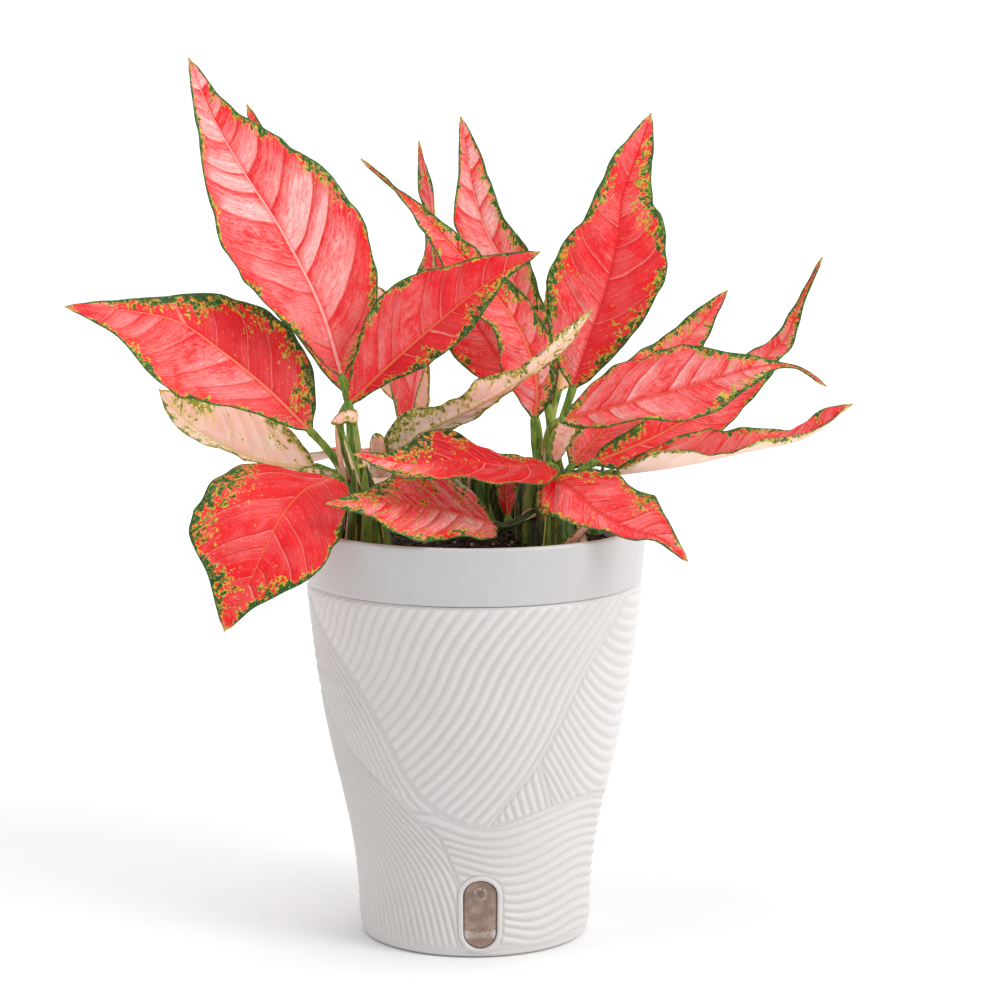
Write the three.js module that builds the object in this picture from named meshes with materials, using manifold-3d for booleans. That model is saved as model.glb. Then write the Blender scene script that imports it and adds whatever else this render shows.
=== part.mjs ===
// A potted Chinese evergreen: red variegated leaves on three leafy stems, in potting soil, in a white
// self-watering planter. Millimetres, +Z up, with the origin at the centre of the planter's underside
// and the front, where the water window is, towards -Y.
import * as THREE from "three";
import { mergeVertices } from "three/addons/utils/BufferGeometryUtils.js";
import Module from "manifold-3d";

const wasm = await Module();
wasm.setup();

// ---- driving dimensions of the planter ----------------------------------------------------------
const POT_HEIGHT = 209; // underside to the top of the collar
const RIM_RADIUS = 86.5; // outside of the collar at its top
const SEAM_HEIGHT = 181; // where the collar of the inner pot meets the outer pot
const SEAM_RADIUS = 84; // outside of the outer pot just under the collar
const BASE_RADIUS = 58; // outside of the outer pot near the surface it stands on
const WALL = 2.6; // thickness of both pots under the collar
const CLEARANCE = 0.3; // between pieces that rest on each other
const ROUND_STEPS = 44; // facets round each pot
const FLOOR_THICKNESS = 3;

// The outer pot's profile under the collar, as [radius, height]: a straight foot, a waist and a full belly.
const OUTER_PROFILE = [
  [BASE_RADIUS - 4, 0],
  [BASE_RADIUS - 1.2, 1.4],
  [BASE_RADIUS, 5],
  [BASE_RADIUS + 0.4, 24],
  [60.2, 42],
  [62.8, 58],
  [66.8, 76],
  [70.6, 92],
  [75.2, 114],
  [79.2, 139],
  [82, 162],
  [SEAM_RADIUS, SEAM_HEIGHT - 1],
];

// ---- driving dimensions of the water window -----------------------------------------------------
const WINDOW_WIDTH = 17;
const WINDOW_HEIGHT = 35;
const WINDOW_CENTRE = 22.5; // height above the underside
const WINDOW_TURN = 3.2; // degrees round the pot from straight ahead
const WINDOW_LIP = 2.4; // width of the raised lip round it
const WINDOW_LIP_RISE = 0.7;
const WINDOW_FLANGE = 1.6; // how far the lens reaches behind the wall
const WINDOW_THICKNESS = 1.1; // of that flange
const WINDOW_INSET = 0.6; // from the outer pot's outside in to the glass
const WINDOW_CUT = [BASE_RADIUS - 12, BASE_RADIUS + 8]; // the cut runs between these radii
const WINDOW_ARC_STEPS = 8;

// ---- driving dimensions of the inner pot and the soil -------------------------------------------
const COLLAR_WALL = 3.6; // thickness of the collar
const SHOULDER_DEPTH = 6; // radial depth of the shoulder that hangs the inner pot on the outer one
const INNER_FLOOR = 48; // height of the underside of the inner pot's floor, above the water
const INNER_GAP = [9.6, 4.8]; // from the outer pot's outside in to the inner pot's, low down and high up
const INNER_GAP_HEIGHTS = [60, 160]; // where those two gaps are reached
const INNER_HEIGHTS = [66, 90, 120, 150, 170]; // rings of the inner pot's wall
const FOOT_RADIUS = 19; // hollow foot, filled with soil, that stands in the water and wicks it up
const FOOT_BOTTOM = 5;
const FOOT_SLOTS = { count: 6, width: 3, height: 26, bottom: 10 }; // they let the water in
const SOIL_EDGE = 198; // height of the soil where it meets the collar
const SOIL_CROWN = 4; // how far the soil is heaped at its middle
const SOIL_RINGS = [56, 28];
const CLOD_HEIGHT = 1.3; // ripples across the top of the soil
const CLOD_LENGTH = [6.5, 7.5];

// ---- driving dimensions of the plant ------------------------------------------------------------
const BLADE_THICKNESS = 0.8;
const BLADE_STEPS = 12; // along a blade
const BLADE_EDGE = 0.5; // the least that a blade reaches past its midrib on each side
const RIB_HALF_WIDTH = [1.5, 0.25]; // midrib at the base and at the tip of a blade
const RIB_DEPTH = [1.7, 0.3]; // how far the midrib stands out under the blade
const STALK_RADIUS = [2.6, 1.7]; // leaf stalk at the stem and at the blade
const STALK_SIDES = 6;
const STALK_STEPS = 7;
const STALK_SPREAD = 0.6; // how far a stalk starts from the axis of its stem, as a share of the radius there
const STEM_SIDES = 8;
const STEM_STEPS = 5;
const DEGREE = Math.PI / 180;

// The leafy stems.
// axis: points from the foot, in the soil, to the crown
// radius: at the foot and at the crown
const STEMS = {
  stem_left: { axis: [[-52, -7, 186], [-54, -8, 207], [-57, -10, 238]], radius: [16, 4] },
  stem_right: { axis: [[41, -3, 186], [38, -4, 207], [34, -4, 243]], radius: [21, 4.5] },
  stem_back: { axis: [[4, 34, 186], [3, 34, 207], [0, 32, 238]], radius: [15, 4] },
};

// The leaves.
// from: the stem, and how far up it the stalk leaves
// fold, cup: how far the halves rise from the midrib, in degrees, and curl, as a share of the half width
// wave: height, number and phase of the waves of the edge
// rib: points along the midrib, from the blade's base to its tip
// face: the way the upper surface looks, at one place or at several evenly spaced from base to tip
// left, right: half widths, evenly spaced, with the tip pointing up and the upper surface in view
const LEAVES = {
  leaf_tall_left: {
    from: ["stem_left", 0.6], fold: 10, cup: 0.05, wave: [1.2, 2.2, 0.1],
    rib: [
      [-65, -14, 283], [-75, -24, 319], [-93, -30, 356], [-111, -32, 385], [-126, -31, 412],
      [-137, -28, 439],
    ],
    face: [[0.25, -0.95, 0.2]],
    left: [3, 16, 28, 31, 21, 9, 1], right: [4, 26, 36, 34, 24, 10, 1],
  },
  leaf_tall_left_back: {
    from: ["stem_left", 0.5], fold: 12, cup: 0.05, wave: [1.5, 2, 0.3],
    rib: [[-64, 6, 273], [-76, 18, 313], [-95, 34, 367], [-115, 46, 415]],
    face: [[0.1, -0.97, 0.2]],
    left: [3, 14, 22, 20, 14, 6, 1], right: [3, 14, 20, 18, 12, 5, 1],
  },
  leaf_far_left: {
    from: ["stem_left", 0.55], fold: 8, cup: 0.05, wave: [1.5, 2, 0.6],
    rib: [
      [-81, -12, 256], [-102, -22, 279], [-126, -30, 300], [-144, -38, 313], [-170, -44, 319],
      [-196, -50, 321],
    ],
    face: [[-0.2, -0.75, 0.6]],
    left: [2, 13, 24, 36, 42, 17, 1], right: [6, 24, 30, 25, 11, 5, 1],
  },
  leaf_under_left: {
    from: ["stem_left", 0.42], fold: 12, cup: 0.05, wave: [1.5, 2, 0],
    rib: [[-79, -4, 237], [-107, -2, 241], [-130, 0, 251], [-145, 2, 261], [-157, 4, 275]],
    face: [[-0.1, 0.85, 0.5]],
    left: [3, 20, 28, 28, 22, 12, 1], right: [2, 3, 3, 5, 9, 7, 1],
  },
  leaf_drooping_left: {
    from: ["stem_left", 0.4], fold: 5, cup: -0.06, wave: [1.5, 2, 0.4],
    rib: [
      [-69, -20, 234], [-82, -42, 231], [-92, -60, 221], [-99, -70, 208], [-108, -77, 189],
      [-119, -80, 168],
    ],
    face: [[-0.2, -0.5, 0.8], [-0.1, -0.9, 0.35], [0, -1, 0.1]],
    left: [8, 23, 29, 31, 25, 9, 1], right: [8, 35, 38, 39, 37, 18, 1],
  },
  leaf_front_red: {
    from: ["stem_left", 0.7], fold: 10, cup: 0.05, wave: [1.2, 2, 0.2],
    rib: [[-61, -22, 271], [-41, -34, 291], [-17, -46, 313], [6, -54, 332], [32, -58, 348]],
    face: [[0.1, -0.85, 0.45]],
    left: [4, 16, 26, 27, 19, 10, 1], right: [2, 6, 12, 16, 13, 4, 1],
  },
  leaf_edge_on: {
    from: ["stem_back", 0.5], fold: 14, cup: 0.05, wave: [1.5, 2, 0],
    rib: [[-34, 22, 247], [-31, 26, 270], [-25, 30, 307], [-21, 34, 342], [-22, 36, 367], [-28, 36, 397]],
    face: [[-0.9, -0.4, 0.2]],
    left: [3, 20, 22, 14, 8, 8, 1], right: [3, 22, 22, 14, 6, 9, 1],
  },
  leaf_long_tip: {
    from: ["stem_right", 0.6], fold: 12, cup: 0.05, wave: [1, 2, 0.5],
    rib: [
      [30, -14, 262], [31, -18, 280], [24, -18, 304], [8, -14, 327], [-13, -10, 350], [-34, -8, 371],
      [-55, -12, 390],
    ],
    face: [[0.0, -0.9, 0.4]],
    left: [4, 16, 13, 14, 8, 2, 1], right: [3, 11, 11, 8, 6, 1.5, 1],
  },
  leaf_upright_mid: {
    from: ["stem_right", 0.55], fold: 12, cup: 0.05, wave: [1.2, 2, 0.1],
    rib: [[37, 12, 265], [32, 20, 298], [19, 28, 328], [2, 38, 362], [-7, 46, 409]],
    face: [[0.1, -0.95, 0.2]],
    left: [3, 14, 18, 18, 14, 6, 1], right: [3, 9, 10, 13, 11, 8.5, 1],
  },
  leaf_shaded_mid: {
    from: ["stem_right", 0.5], fold: 16, cup: 0.05, wave: [1.5, 2, 0.7],
    rib: [[24, 4, 274], [10, 7, 294], [-6, 10, 319], [-20, 13, 346]],
    face: [[-0.4, -0.85, 0.3]],
    left: [3, 12, 18, 17, 12, 6, 1], right: [3, 12, 18, 17, 12, 6, 1],
  },
  leaf_upright_right: {
    from: ["stem_right", 0.7], fold: 8, cup: 0.05, wave: [1.5, 2, 0.4],
    rib: [
      [49, -2, 276], [57, -4, 301], [65, -6, 325], [71, -8, 353], [73, -8, 372], [81, -6, 394],
      [87, -2, 412],
    ],
    face: [[0.05, -0.97, 0.2]],
    left: [4, 20, 29, 26, 14, 10, 1], right: [4, 15, 23, 26, 18, 9, 1],
  },
  leaf_long_right: {
    from: ["stem_right", 0.55], fold: 8, cup: 0.0, wave: [1.5, 2, 0.6],
    rib: [
      [44, -24, 263], [72, -44, 273], [106, -58, 284], [134, -66, 293], [153, -68, 294],
      [168, -72, 285],
    ],
    face: [[0.0, -0.75, 0.65]],
    left: [5, 21, 23, 24, 11, 2, 1], right: [4, 12, 15, 21, 16, 3, 1],
  },
  leaf_rising_right: {
    from: ["stem_right", 0.4], fold: 12, cup: 0.05, wave: [1.2, 2, 0.2],
    rib: [[49, 6, 236], [65, 14, 253], [89, 22, 279], [114, 30, 305], [128, 34, 322]],
    face: [[-0.3, -0.85, 0.45]],
    left: [6, 15, 18, 15.5, 10.5, 7, 1], right: [6, 15, 18, 18, 15, 7, 1],
  },
  leaf_spear_right: {
    from: ["stem_right", 0.38], fold: 12, cup: 0.05, wave: [1.2, 2, 0.4],
    rib: [
      [60, -9, 240], [93, -6, 254], [124, -6, 273], [145, -8, 293], [154, -9, 302], [160, -10, 318],
      [171, -12, 342],
    ],
    face: [[-0.2, -0.85, 0.5]],
    left: [5, 9, 11, 9, 6, 2, 1], right: [6, 14, 18, 14, 7, 3, 1],
  },
  leaf_folded_right: {
    from: ["stem_right", 0.38], fold: 42, cup: -0.05, wave: [3.6, 2.35, 0.66],
    rib: [[68, -30, 238], [100, -44, 244], [131, -54, 252], [160, -62, 260], [181, -66, 276]],
    face: [[0, -0.1, 1]],
    left: [3, 14, 24, 12, 11, 11, 1], right: [3, 12, 12, 6, 4, 3.5, 1],
  },
  leaf_drooping_right: {
    from: ["stem_right", 0.42], fold: 6, cup: -0.05, wave: [1.5, 2, 0.5],
    rib: [
      [37, -36, 236], [48, -50, 232], [60, -62, 223], [75, -72, 216], [89, -80, 213], [102, -86, 203],
    ],
    face: [[-0.2, -0.65, 0.75]],
    left: [3, 14, 21, 21, 21, 8, 1], right: [9, 20, 16, 9, 5, 3, 1],
  },
  leaf_twisted_mid: {
    from: ["stem_back", 0.45], fold: 10, cup: 0.05, wave: [1.2, 2, 0],
    rib: [[-42, 0, 243], [-22, -12, 258], [6, -30, 274], [32, -46, 293], [57, -56, 320]],
    face: [[-0.3, 0.75, 0.55]],
    left: [3, 11, 13, 8, 3, 6, 1], right: [8, 15, 10, 12, 5, 5, 1],
  },
  leaf_front_low: {
    from: ["stem_right", 0.46], fold: 6, cup: 0.0, wave: [1.5, 1.5, 0.2],
    rib: [[37, -24, 241], [15, -48, 244], [-7, -60, 248], [-30, -66, 247], [-57, -68, 252]],
    face: [[0, -0.4, 0.9]],
    left: [6, 21, 27, 27, 18, 12, 1], right: [6, 11, 19, 26, 22, 8, 1],
  },
  leaf_front_lowest: {
    from: ["stem_right", 0.38], fold: 6, cup: -0.06, wave: [1.5, 2, 0.3],
    rib: [[11, -38, 213], [-11, -54, 222], [-35, -66, 228], [-54, -71, 229], [-70, -74, 229]],
    face: [[0, -0.6, 0.8]],
    left: [8, 17, 21, 25, 22, 9, 1], right: [11, 29, 28, 23, 15, 6, 1],
  },
  leaf_back_left: {
    from: ["stem_back", 0.5], fold: 8, cup: -0.04, wave: [1.5, 2, 0.2],
    rib: [[-37, 40, 234], [-60, 52, 237], [-90, 66, 229], [-118, 78, 208]],
    face: [[-0.2, 0.15, 0.95], [-0.5, 0.2, 0.8]],
    left: [4, 17, 23, 24, 18, 9, 1], right: [4, 12, 16, 20, 17, 8, 1],
  },
  leaf_back_right: {
    from: ["stem_right", 0.5], fold: 8, cup: -0.04, wave: [1.5, 2, 0.5],
    rib: [[48, 24, 252], [70, 44, 264], [98, 64, 262], [124, 78, 246]],
    face: [[0.1, 0.35, 0.9], [0.5, 0.3, 0.8]],
    left: [4, 17, 25, 26, 19, 9, 1], right: [4, 18, 26, 24, 17, 8, 1],
  },
  leaf_back_tall: {
    from: ["stem_back", 0.7], fold: 10, cup: 0.05, wave: [1.5, 2, 0.3],
    rib: [[-26, 50, 256], [-44, 58, 286], [-66, 66, 316], [-88, 72, 342]],
    face: [[0.1, 0.9, 0.4]],
    left: [4, 14, 20, 20, 15, 8, 1], right: [4, 13, 17, 18, 14, 7, 1],
  },
  leaf_back_upright: {
    from: ["stem_right", 0.65], fold: 10, cup: 0.05, wave: [1.5, 2, 0.6],
    rib: [[42, 22, 272], [50, 34, 304], [62, 42, 340], [74, 48, 374]],
    face: [[-0.1, 0.95, 0.3]],
    left: [4, 13, 19, 20, 15, 8, 1], right: [4, 13, 18, 18, 14, 7, 1],
  },
  leaf_back_low: {
    from: ["stem_back", 0.4], fold: 6, cup: -0.06, wave: [1.5, 2, 0.1],
    rib: [[-24, 56, 228], [-36, 84, 226], [-44, 106, 210], [-50, 120, 188]],
    face: [[-0.1, 0.3, 0.95], [-0.1, 0.7, 0.7], [-0.1, 0.95, 0.3]],
    left: [5, 22, 30, 30, 24, 12, 1], right: [5, 23, 31, 30, 22, 11, 1],
  },
  leaf_back_right_low: {
    from: ["stem_right", 0.38], fold: 6, cup: -0.05, wave: [1.5, 2, 0.7],
    rib: [[42, 38, 220], [50, 66, 217], [59, 90, 204], [66, 106, 186]],
    face: [[0.1, 0.2, 0.95], [0.3, 0.6, 0.75], [0.4, 0.85, 0.4]],
    left: [5, 20, 26, 26, 20, 10, 1], right: [5, 19, 26, 27, 20, 9, 1],
  },
  leaf_young: {
    from: ["stem_right", 0.37], fold: 20, cup: 0.1, wave: [0.3, 1, 0],
    rib: [[17, 6, 209], [16, 9, 221], [15, 12, 238]],
    face: [[0.2, -0.9, 0.2]],
    left: [2, 3, 5, 6, 6, 4, 1], right: [2, 3, 5, 6, 6, 4, 1],
  },
};

// ---- small helpers ------------------------------------------------------------------------------
const vector = ([x, y, z]) => new THREE.Vector3(x, y, z);
const mix = (a, b, t) => a + (b - a) * t;

// A smooth curve through a few points. With one point it stays there.
function curveThrough(points) {
  const several = points.length > 1 ? points : [points[0], points[0]];
  return new THREE.CatmullRomCurve3(several.map(vector), false, "catmullrom", 0.5);
}

function solidOf(geometry) {
  const bare = geometry.index ? geometry.toNonIndexed() : geometry.clone();
  bare.deleteAttribute("normal");
  bare.deleteAttribute("uv");
  const merged = mergeVertices(bare, 1e-4);
  return new wasm.Manifold(new wasm.Mesh({
    numProp: 3,
    vertProperties: merged.attributes.position.array,
    triVerts: new Uint32Array(merged.index.array),
  }));
}

function geometryOf(solid) {
  const mesh = solid.getMesh();
  const geometry = new THREE.BufferGeometry();
  const corners = new Float32Array(mesh.numVert * 3);
  for (let i = 0; i < mesh.numVert; i++) {
    corners.set(mesh.vertProperties.subarray(i * mesh.numProp, i * mesh.numProp + 3), i * 3);
  }
  geometry.setAttribute("position", new THREE.BufferAttribute(corners, 3));
  geometry.setIndex(new THREE.BufferAttribute(mesh.triVerts, 1));
  geometry.computeVertexNormals();
  return geometry;
}

// A solid of revolution about Z from a closed outline of [radius, height] points, given anticlockwise.
function turned(outline, steps = ROUND_STEPS) {
  const closed = [...outline, outline[0]].map(([r, z]) => new THREE.Vector2(r, z));
  const geometry = new THREE.LatheGeometry(closed, steps);
  geometry.rotateX(Math.PI / 2); // the lathe's Y axis becomes Z
  return solidOf(geometry);
}

// The radius of the outer pot's outside at a height.
function outerRadius(z) {
  for (let i = 1; i < OUTER_PROFILE.length; i++) {
    const [r0, z0] = OUTER_PROFILE[i - 1];
    const [r1, z1] = OUTER_PROFILE[i];
    if (z <= z1) return mix(r0, r1, (z - z0) / (z1 - z0));
  }
  return SEAM_RADIUS;
}

// A tube of round section along a curve, its radius running from radii[0] to radii[1].
function tube(curve, radii, sides, steps) {
  const positions = [];
  const index = [];
  const frames = curve.computeFrenetFrames(steps, false);
  for (let i = 0; i <= steps; i++) {
    const t = i / steps;
    const centre = curve.getPointAt(t);
    const radius = mix(radii[0], radii[1], t);
    for (let k = 0; k < sides; k++) {
      const angle = (k / sides) * 2 * Math.PI;
      const out = frames.normals[i].clone().multiplyScalar(Math.cos(angle) * radius)
        .addScaledVector(frames.binormals[i], Math.sin(angle) * radius);
      positions.push(...centre.clone().add(out).toArray());
    }
  }
  for (let i = 0; i < steps; i++) {
    for (let k = 0; k < sides; k++) {
      const a = i * sides + k;
      const b = i * sides + ((k + 1) % sides);
      index.push(a, b, b + sides, a, b + sides, a + sides);
    }
  }
  for (let k = 1; k < sides - 1; k++) {
    const last = steps * sides;
    index.push(0, k + 1, k, last, last + k, last + k + 1);
  }
  const geometry = new THREE.BufferGeometry();
  geometry.setAttribute("position", new THREE.Float32BufferAttribute(positions, 3));
  geometry.setIndex(index);
  return geometry;
}

// ---- planter ------------------------------------------------------------------------------------
// A prism with an oblong section, round at both ends, that runs out through the wall at the window.
function windowPrism(grow) {
  const half = WINDOW_WIDTH / 2 + grow;
  const straight = (WINDOW_HEIGHT - WINDOW_WIDTH) / 2;
  const [near, far] = WINDOW_CUT;
  const outline = new THREE.Shape();
  outline.absarc(0, straight, half, 0, Math.PI, false);
  outline.absarc(0, -straight, half, Math.PI, 2 * Math.PI, false);
  const extrusion = { depth: far - near, bevelEnabled: false, curveSegments: WINDOW_ARC_STEPS };
  const prism = new THREE.ExtrudeGeometry(outline, extrusion);
  prism.translate(0, 0, near);
  prism.rotateX(Math.PI / 2); // the prism's Z axis becomes -Y
  prism.translate(0, 0, WINDOW_CENTRE);
  prism.rotateZ(WINDOW_TURN * DEGREE);
  return solidOf(prism);
}

// A shell that follows the outer pot's outside between two offsets from it, round the foot.
function footShell(inner, outer) {
  const foot = OUTER_PROFILE.slice(1, 5);
  const side = (offset) => foot.map(([r, z]) => [r + offset, z]);
  return turned([...side(outer), ...side(inner).reverse()]);
}

function outerPot() {
  const inside = OUTER_PROFILE.slice(3).map(([r, z]) => [r - WALL, z]).reverse();
  const shell = turned([
    [0, 0], ...OUTER_PROFILE, ...inside, [BASE_RADIUS - WALL, FLOOR_THICKNESS], [0, FLOOR_THICKNESS],
  ]);
  const lip = windowPrism(WINDOW_LIP).intersect(footShell(-WALL / 2, WINDOW_LIP_RISE));
  return shell.add(lip).subtract(windowPrism(0));
}

function waterWindow() {
  const back = -WALL - CLEARANCE - WINDOW_THICKNESS;
  const lens = windowPrism(-CLEARANCE).intersect(footShell(back, -WINDOW_INSET));
  const flange = windowPrism(WINDOW_FLANGE).intersect(footShell(back, -WALL - CLEARANCE));
  return lens.add(flange);
}

// The outside of the inner pot below its collar, and the inside of the collar, at a height.
function innerRadius(z) {
  const [low, high] = INNER_GAP_HEIGHTS;
  const rise = Math.min(1, Math.max(0, (z - low) / (high - low)));
  return outerRadius(z) - mix(...INNER_GAP, rise);
}

function collarInside(z) {
  return mix(SEAM_RADIUS, RIM_RADIUS, (z - SEAM_HEIGHT) / (POT_HEIGHT - SEAM_HEIGHT)) - COLLAR_WALL;
}

// The hollow of the inner pot, drawn in by a gap, from the bottom of the foot to just under the collar.
function innerHollow(gap) {
  const floor = INNER_FLOOR + WALL + gap;
  return [
    [0, FOOT_BOTTOM + WALL + gap],
    [FOOT_RADIUS - WALL - gap, FOOT_BOTTOM + WALL + gap],
    [FOOT_RADIUS - WALL / 2 - gap, floor],
    [innerRadius(INNER_FLOOR) - WALL - gap, floor],
    ...INNER_HEIGHTS.map((z) => [innerRadius(z) - WALL - gap, z]),
    [collarInside(SEAM_HEIGHT + 4) - gap, SEAM_HEIGHT + 4],
  ];
}

// The inner pot: a smooth collar over the outer pot's edge, a tapering wall and a slotted foot.
function innerPot() {
  const shoulder = SEAM_HEIGHT - 1 + CLEARANCE; // it rests on the outer pot's edge
  let pot = turned([
    [0, FOOT_BOTTOM], [FOOT_RADIUS - 1, FOOT_BOTTOM], [FOOT_RADIUS, FOOT_BOTTOM + 1],
    [FOOT_RADIUS + WALL / 2, INNER_FLOOR], [innerRadius(INNER_FLOOR), INNER_FLOOR],
    ...INNER_HEIGHTS.map((z) => [innerRadius(z), z]),
    [SEAM_RADIUS - SHOULDER_DEPTH, shoulder], [SEAM_RADIUS, shoulder],
    [RIM_RADIUS - 0.4, POT_HEIGHT - 4], [RIM_RADIUS, POT_HEIGHT - 1.6],
    [RIM_RADIUS - 0.8, POT_HEIGHT - 0.3], [RIM_RADIUS - 2, POT_HEIGHT],
    [RIM_RADIUS - COLLAR_WALL + 0.4, POT_HEIGHT - 0.4],
    [collarInside(POT_HEIGHT - 2), POT_HEIGHT - 2],
    ...innerHollow(0).reverse(),
  ]);
  const { count, width, height, bottom } = FOOT_SLOTS;
  for (let i = 0; i < count; i++) {
    const slot = new THREE.BoxGeometry(4 * WALL, width, height);
    slot.translate(FOOT_RADIUS, 0, bottom + height / 2);
    slot.rotateZ((i + 0.5) / count * 2 * Math.PI);
    pot = pot.subtract(solidOf(slot));
  }
  return pot;
}

// ---- soil ---------------------------------------------------------------------------------------
// The soil fills the inner pot and its foot, with a low heap on top and a plain hole for each stem.
function soil() {
  const edge = collarInside(SOIL_EDGE) - CLEARANCE;
  const heaped = (r) => SOIL_EDGE + SOIL_CROWN * (1 - (r / edge) ** 2);
  const outline = [
    ...innerHollow(CLEARANCE), [edge, SOIL_EDGE],
    ...SOIL_RINGS.map((r) => [r, heaped(r)]), [0, heaped(0)],
  ];
  const geometry = new THREE.LatheGeometry(outline.map(([r, z]) => new THREE.Vector2(r, z)), ROUND_STEPS);
  geometry.rotateX(Math.PI / 2);
  const corners = geometry.getAttribute("position");
  for (let i = 0; i < corners.count; i++) {
    if (corners.getZ(i) < SOIL_EDGE + 0.1) continue;
    const [x, y] = [corners.getX(i) / CLOD_LENGTH[0], corners.getY(i) / CLOD_LENGTH[1]];
    corners.setZ(i, corners.getZ(i) + CLOD_HEIGHT * Math.sin(x + 1) * Math.cos(y));
  }
  return Object.keys(STEMS).reduce((heap, name) => heap.subtract(stemHole(name)), solidOf(geometry));
}

// The plain hole in the soil that a stem stands in.
function stemHole(name) {
  const { axis, radius } = STEMS[name];
  const [[x, y, z], ...above] = axis;
  const curve = curveThrough([[x, y, z - CLEARANCE], ...above]);
  return solidOf(tube(curve, radius.map((r) => r + 1.5 * CLEARANCE), STEM_SIDES, STEM_STEPS));
}

// ---- plant --------------------------------------------------------------------------------------
// The frame of a blade at a share u of its length: place, direction, upper side and right-hand side.
function bladeFrame(rib, face, u) {
  const along = rib.getTangentAt(u);
  const up = face.getPoint(u);
  up.addScaledVector(along, -up.dot(along)).normalize();
  return { place: rib.getPointAt(u), along, up, side: new THREE.Vector3().crossVectors(along, up) };
}

// A blade: a thin plate that follows its midrib, folded, cupped and waved, with the midrib standing out
// under it. Both faces are split into the same triangles, so they stay parallel.
function blade(leaf) {
  const rib = curveThrough(leaf.rib);
  const face = curveThrough(leaf.face);
  const { fold, cup, wave: [waveHeight, waves, phase] } = leaf;
  const halfWidths = [leaf.left, leaf.right].map((widths) => curveThrough(widths.map((w) => [w, 0, 0])));
  const middle = [];
  const columns = 6;
  for (let i = 0; i <= BLADE_STEPS; i++) {
    const u = i / BLADE_STEPS;
    const frame = bladeFrame(rib, face, u);
    const ribHalf = mix(...RIB_HALF_WIDTH, u);
    const [left, right] = halfWidths.map((curve) => Math.max(curve.getPoint(u).x, ribHalf + BLADE_EDGE));
    for (const across of [-left, -(left + ribHalf) / 2, -ribHalf, ribHalf, (right + ribHalf) / 2, right]) {
      const half = across < 0 ? left : right;
      const out = Math.max(0, Math.abs(across) - ribHalf);
      const share = out / half;
      const ripple = waveHeight * 4 * u * (1 - u) * share ** 2
        * Math.sin(2 * Math.PI * (waves * u + phase + (across < 0 ? 0.35 : 0)));
      const lift = out * Math.sin(fold * DEGREE) + cup * half * share ** 2 + ripple;
      const reach = Math.sign(across) * (Math.abs(across) - out + out * Math.cos(fold * DEGREE));
      middle.push(frame.place.clone().addScaledVector(frame.side, reach).addScaledVector(frame.up, lift));
    }
  }
  const at = (i, j) => middle[i * columns + j];
  const normals = middle.map((_, n) => {
    const i = Math.floor(n / columns);
    const j = n % columns;
    const lengthwise = at(Math.min(i + 1, BLADE_STEPS), j).clone().sub(at(Math.max(i - 1, 0), j));
    const crosswise = at(i, Math.min(j + 1, columns - 1)).clone().sub(at(i, Math.max(j - 1, 0)));
    return crosswise.cross(lengthwise).normalize();
  });
  const positions = [];
  for (const underside of [false, true]) {
    middle.forEach((point, n) => {
      const u = Math.floor(n / columns) / BLADE_STEPS;
      const onRib = n % columns === 2 || n % columns === 3;
      const depth = BLADE_THICKNESS / 2 + (underside && onRib ? mix(...RIB_DEPTH, u) : 0);
      positions.push(...point.clone().addScaledVector(normals[n], underside ? -depth : depth).toArray());
    });
  }
  const index = [];
  const under = middle.length;
  const quad = (a, b, c, d) => index.push(a, b, c, a, c, d);
  for (let i = 0; i < BLADE_STEPS; i++) {
    for (let j = 0; j < columns - 1; j++) {
      const a = i * columns + j;
      const b = a + 1;
      const c = b + columns;
      const d = a + columns;
      index.push(a, b, c, a, c, d);
      index.push(under + a, under + c, under + b, under + a, under + d, under + c);
    }
    const left = i * columns;
    const right = left + columns - 1;
    quad(left + under, left, left + columns, left + columns + under);
    quad(right, right + under, right + columns + under, right + columns);
  }
  for (let j = 0; j < columns - 1; j++) {
    const last = BLADE_STEPS * columns + j;
    quad(j + 1, j, j + under, j + 1 + under);
    quad(last, last + 1, last + 1 + under, last + under);
  }
  const geometry = new THREE.BufferGeometry();
  geometry.setAttribute("position", new THREE.Float32BufferAttribute(positions, 3));
  geometry.setIndex(index);
  return geometry;
}

// A leaf's stalk, from the side of its stem to just short of its blade, which it meets in line.
function stalk(leaf, stemAxis, stemRadius) {
  const start = stemAxis.getPointAt(leaf.from[1]);
  const upStem = stemAxis.getTangentAt(leaf.from[1]);
  const rib = curveThrough(leaf.rib);
  const direction = rib.getTangentAt(0);
  const end = rib.getPointAt(0).addScaledVector(direction, -CLEARANCE - 0.1);
  const outward = end.clone().sub(start);
  outward.addScaledVector(upStem, -outward.dot(upStem));
  start.addScaledVector(outward.normalize(), STALK_SPREAD * mix(...stemRadius, leaf.from[1]));
  const reach = start.distanceTo(end);
  const curve = new THREE.CubicBezierCurve3(
    start,
    start.clone().addScaledVector(upStem, reach * 0.45),
    end.clone().addScaledVector(direction, -reach * 0.4),
    end,
  );
  return tube(curve, STALK_RADIUS, STALK_SIDES, STALK_STEPS);
}

// A stem with the stalks of its leaves grown out of it, as one body.
function leafyStem(name) {
  const { axis, radius } = STEMS[name];
  const curve = curveThrough(axis);
  let stem = solidOf(tube(curve, radius, STEM_SIDES, STEM_STEPS));
  for (const leaf of Object.values(LEAVES)) {
    if (leaf.from[0] === name) stem = stem.add(solidOf(stalk(leaf, curve, radius)));
  }
  return stem;
}

// ---- the object ---------------------------------------------------------------------------------
const MATERIALS = {
  white_plastic: { color: 0xe9e7e4, roughness: 0.45 },
  clear_plastic: { color: 0xb9a99a, roughness: 0.1, transparent: true, opacity: 0.35 },
  soil: { color: 0x2a211c, roughness: 0.95 },
  stem: { color: 0x6f8f3d, roughness: 0.5 },
  leaf: { color: 0xe2474f, roughness: 0.4 },
};

const plant = new THREE.Group();

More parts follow.
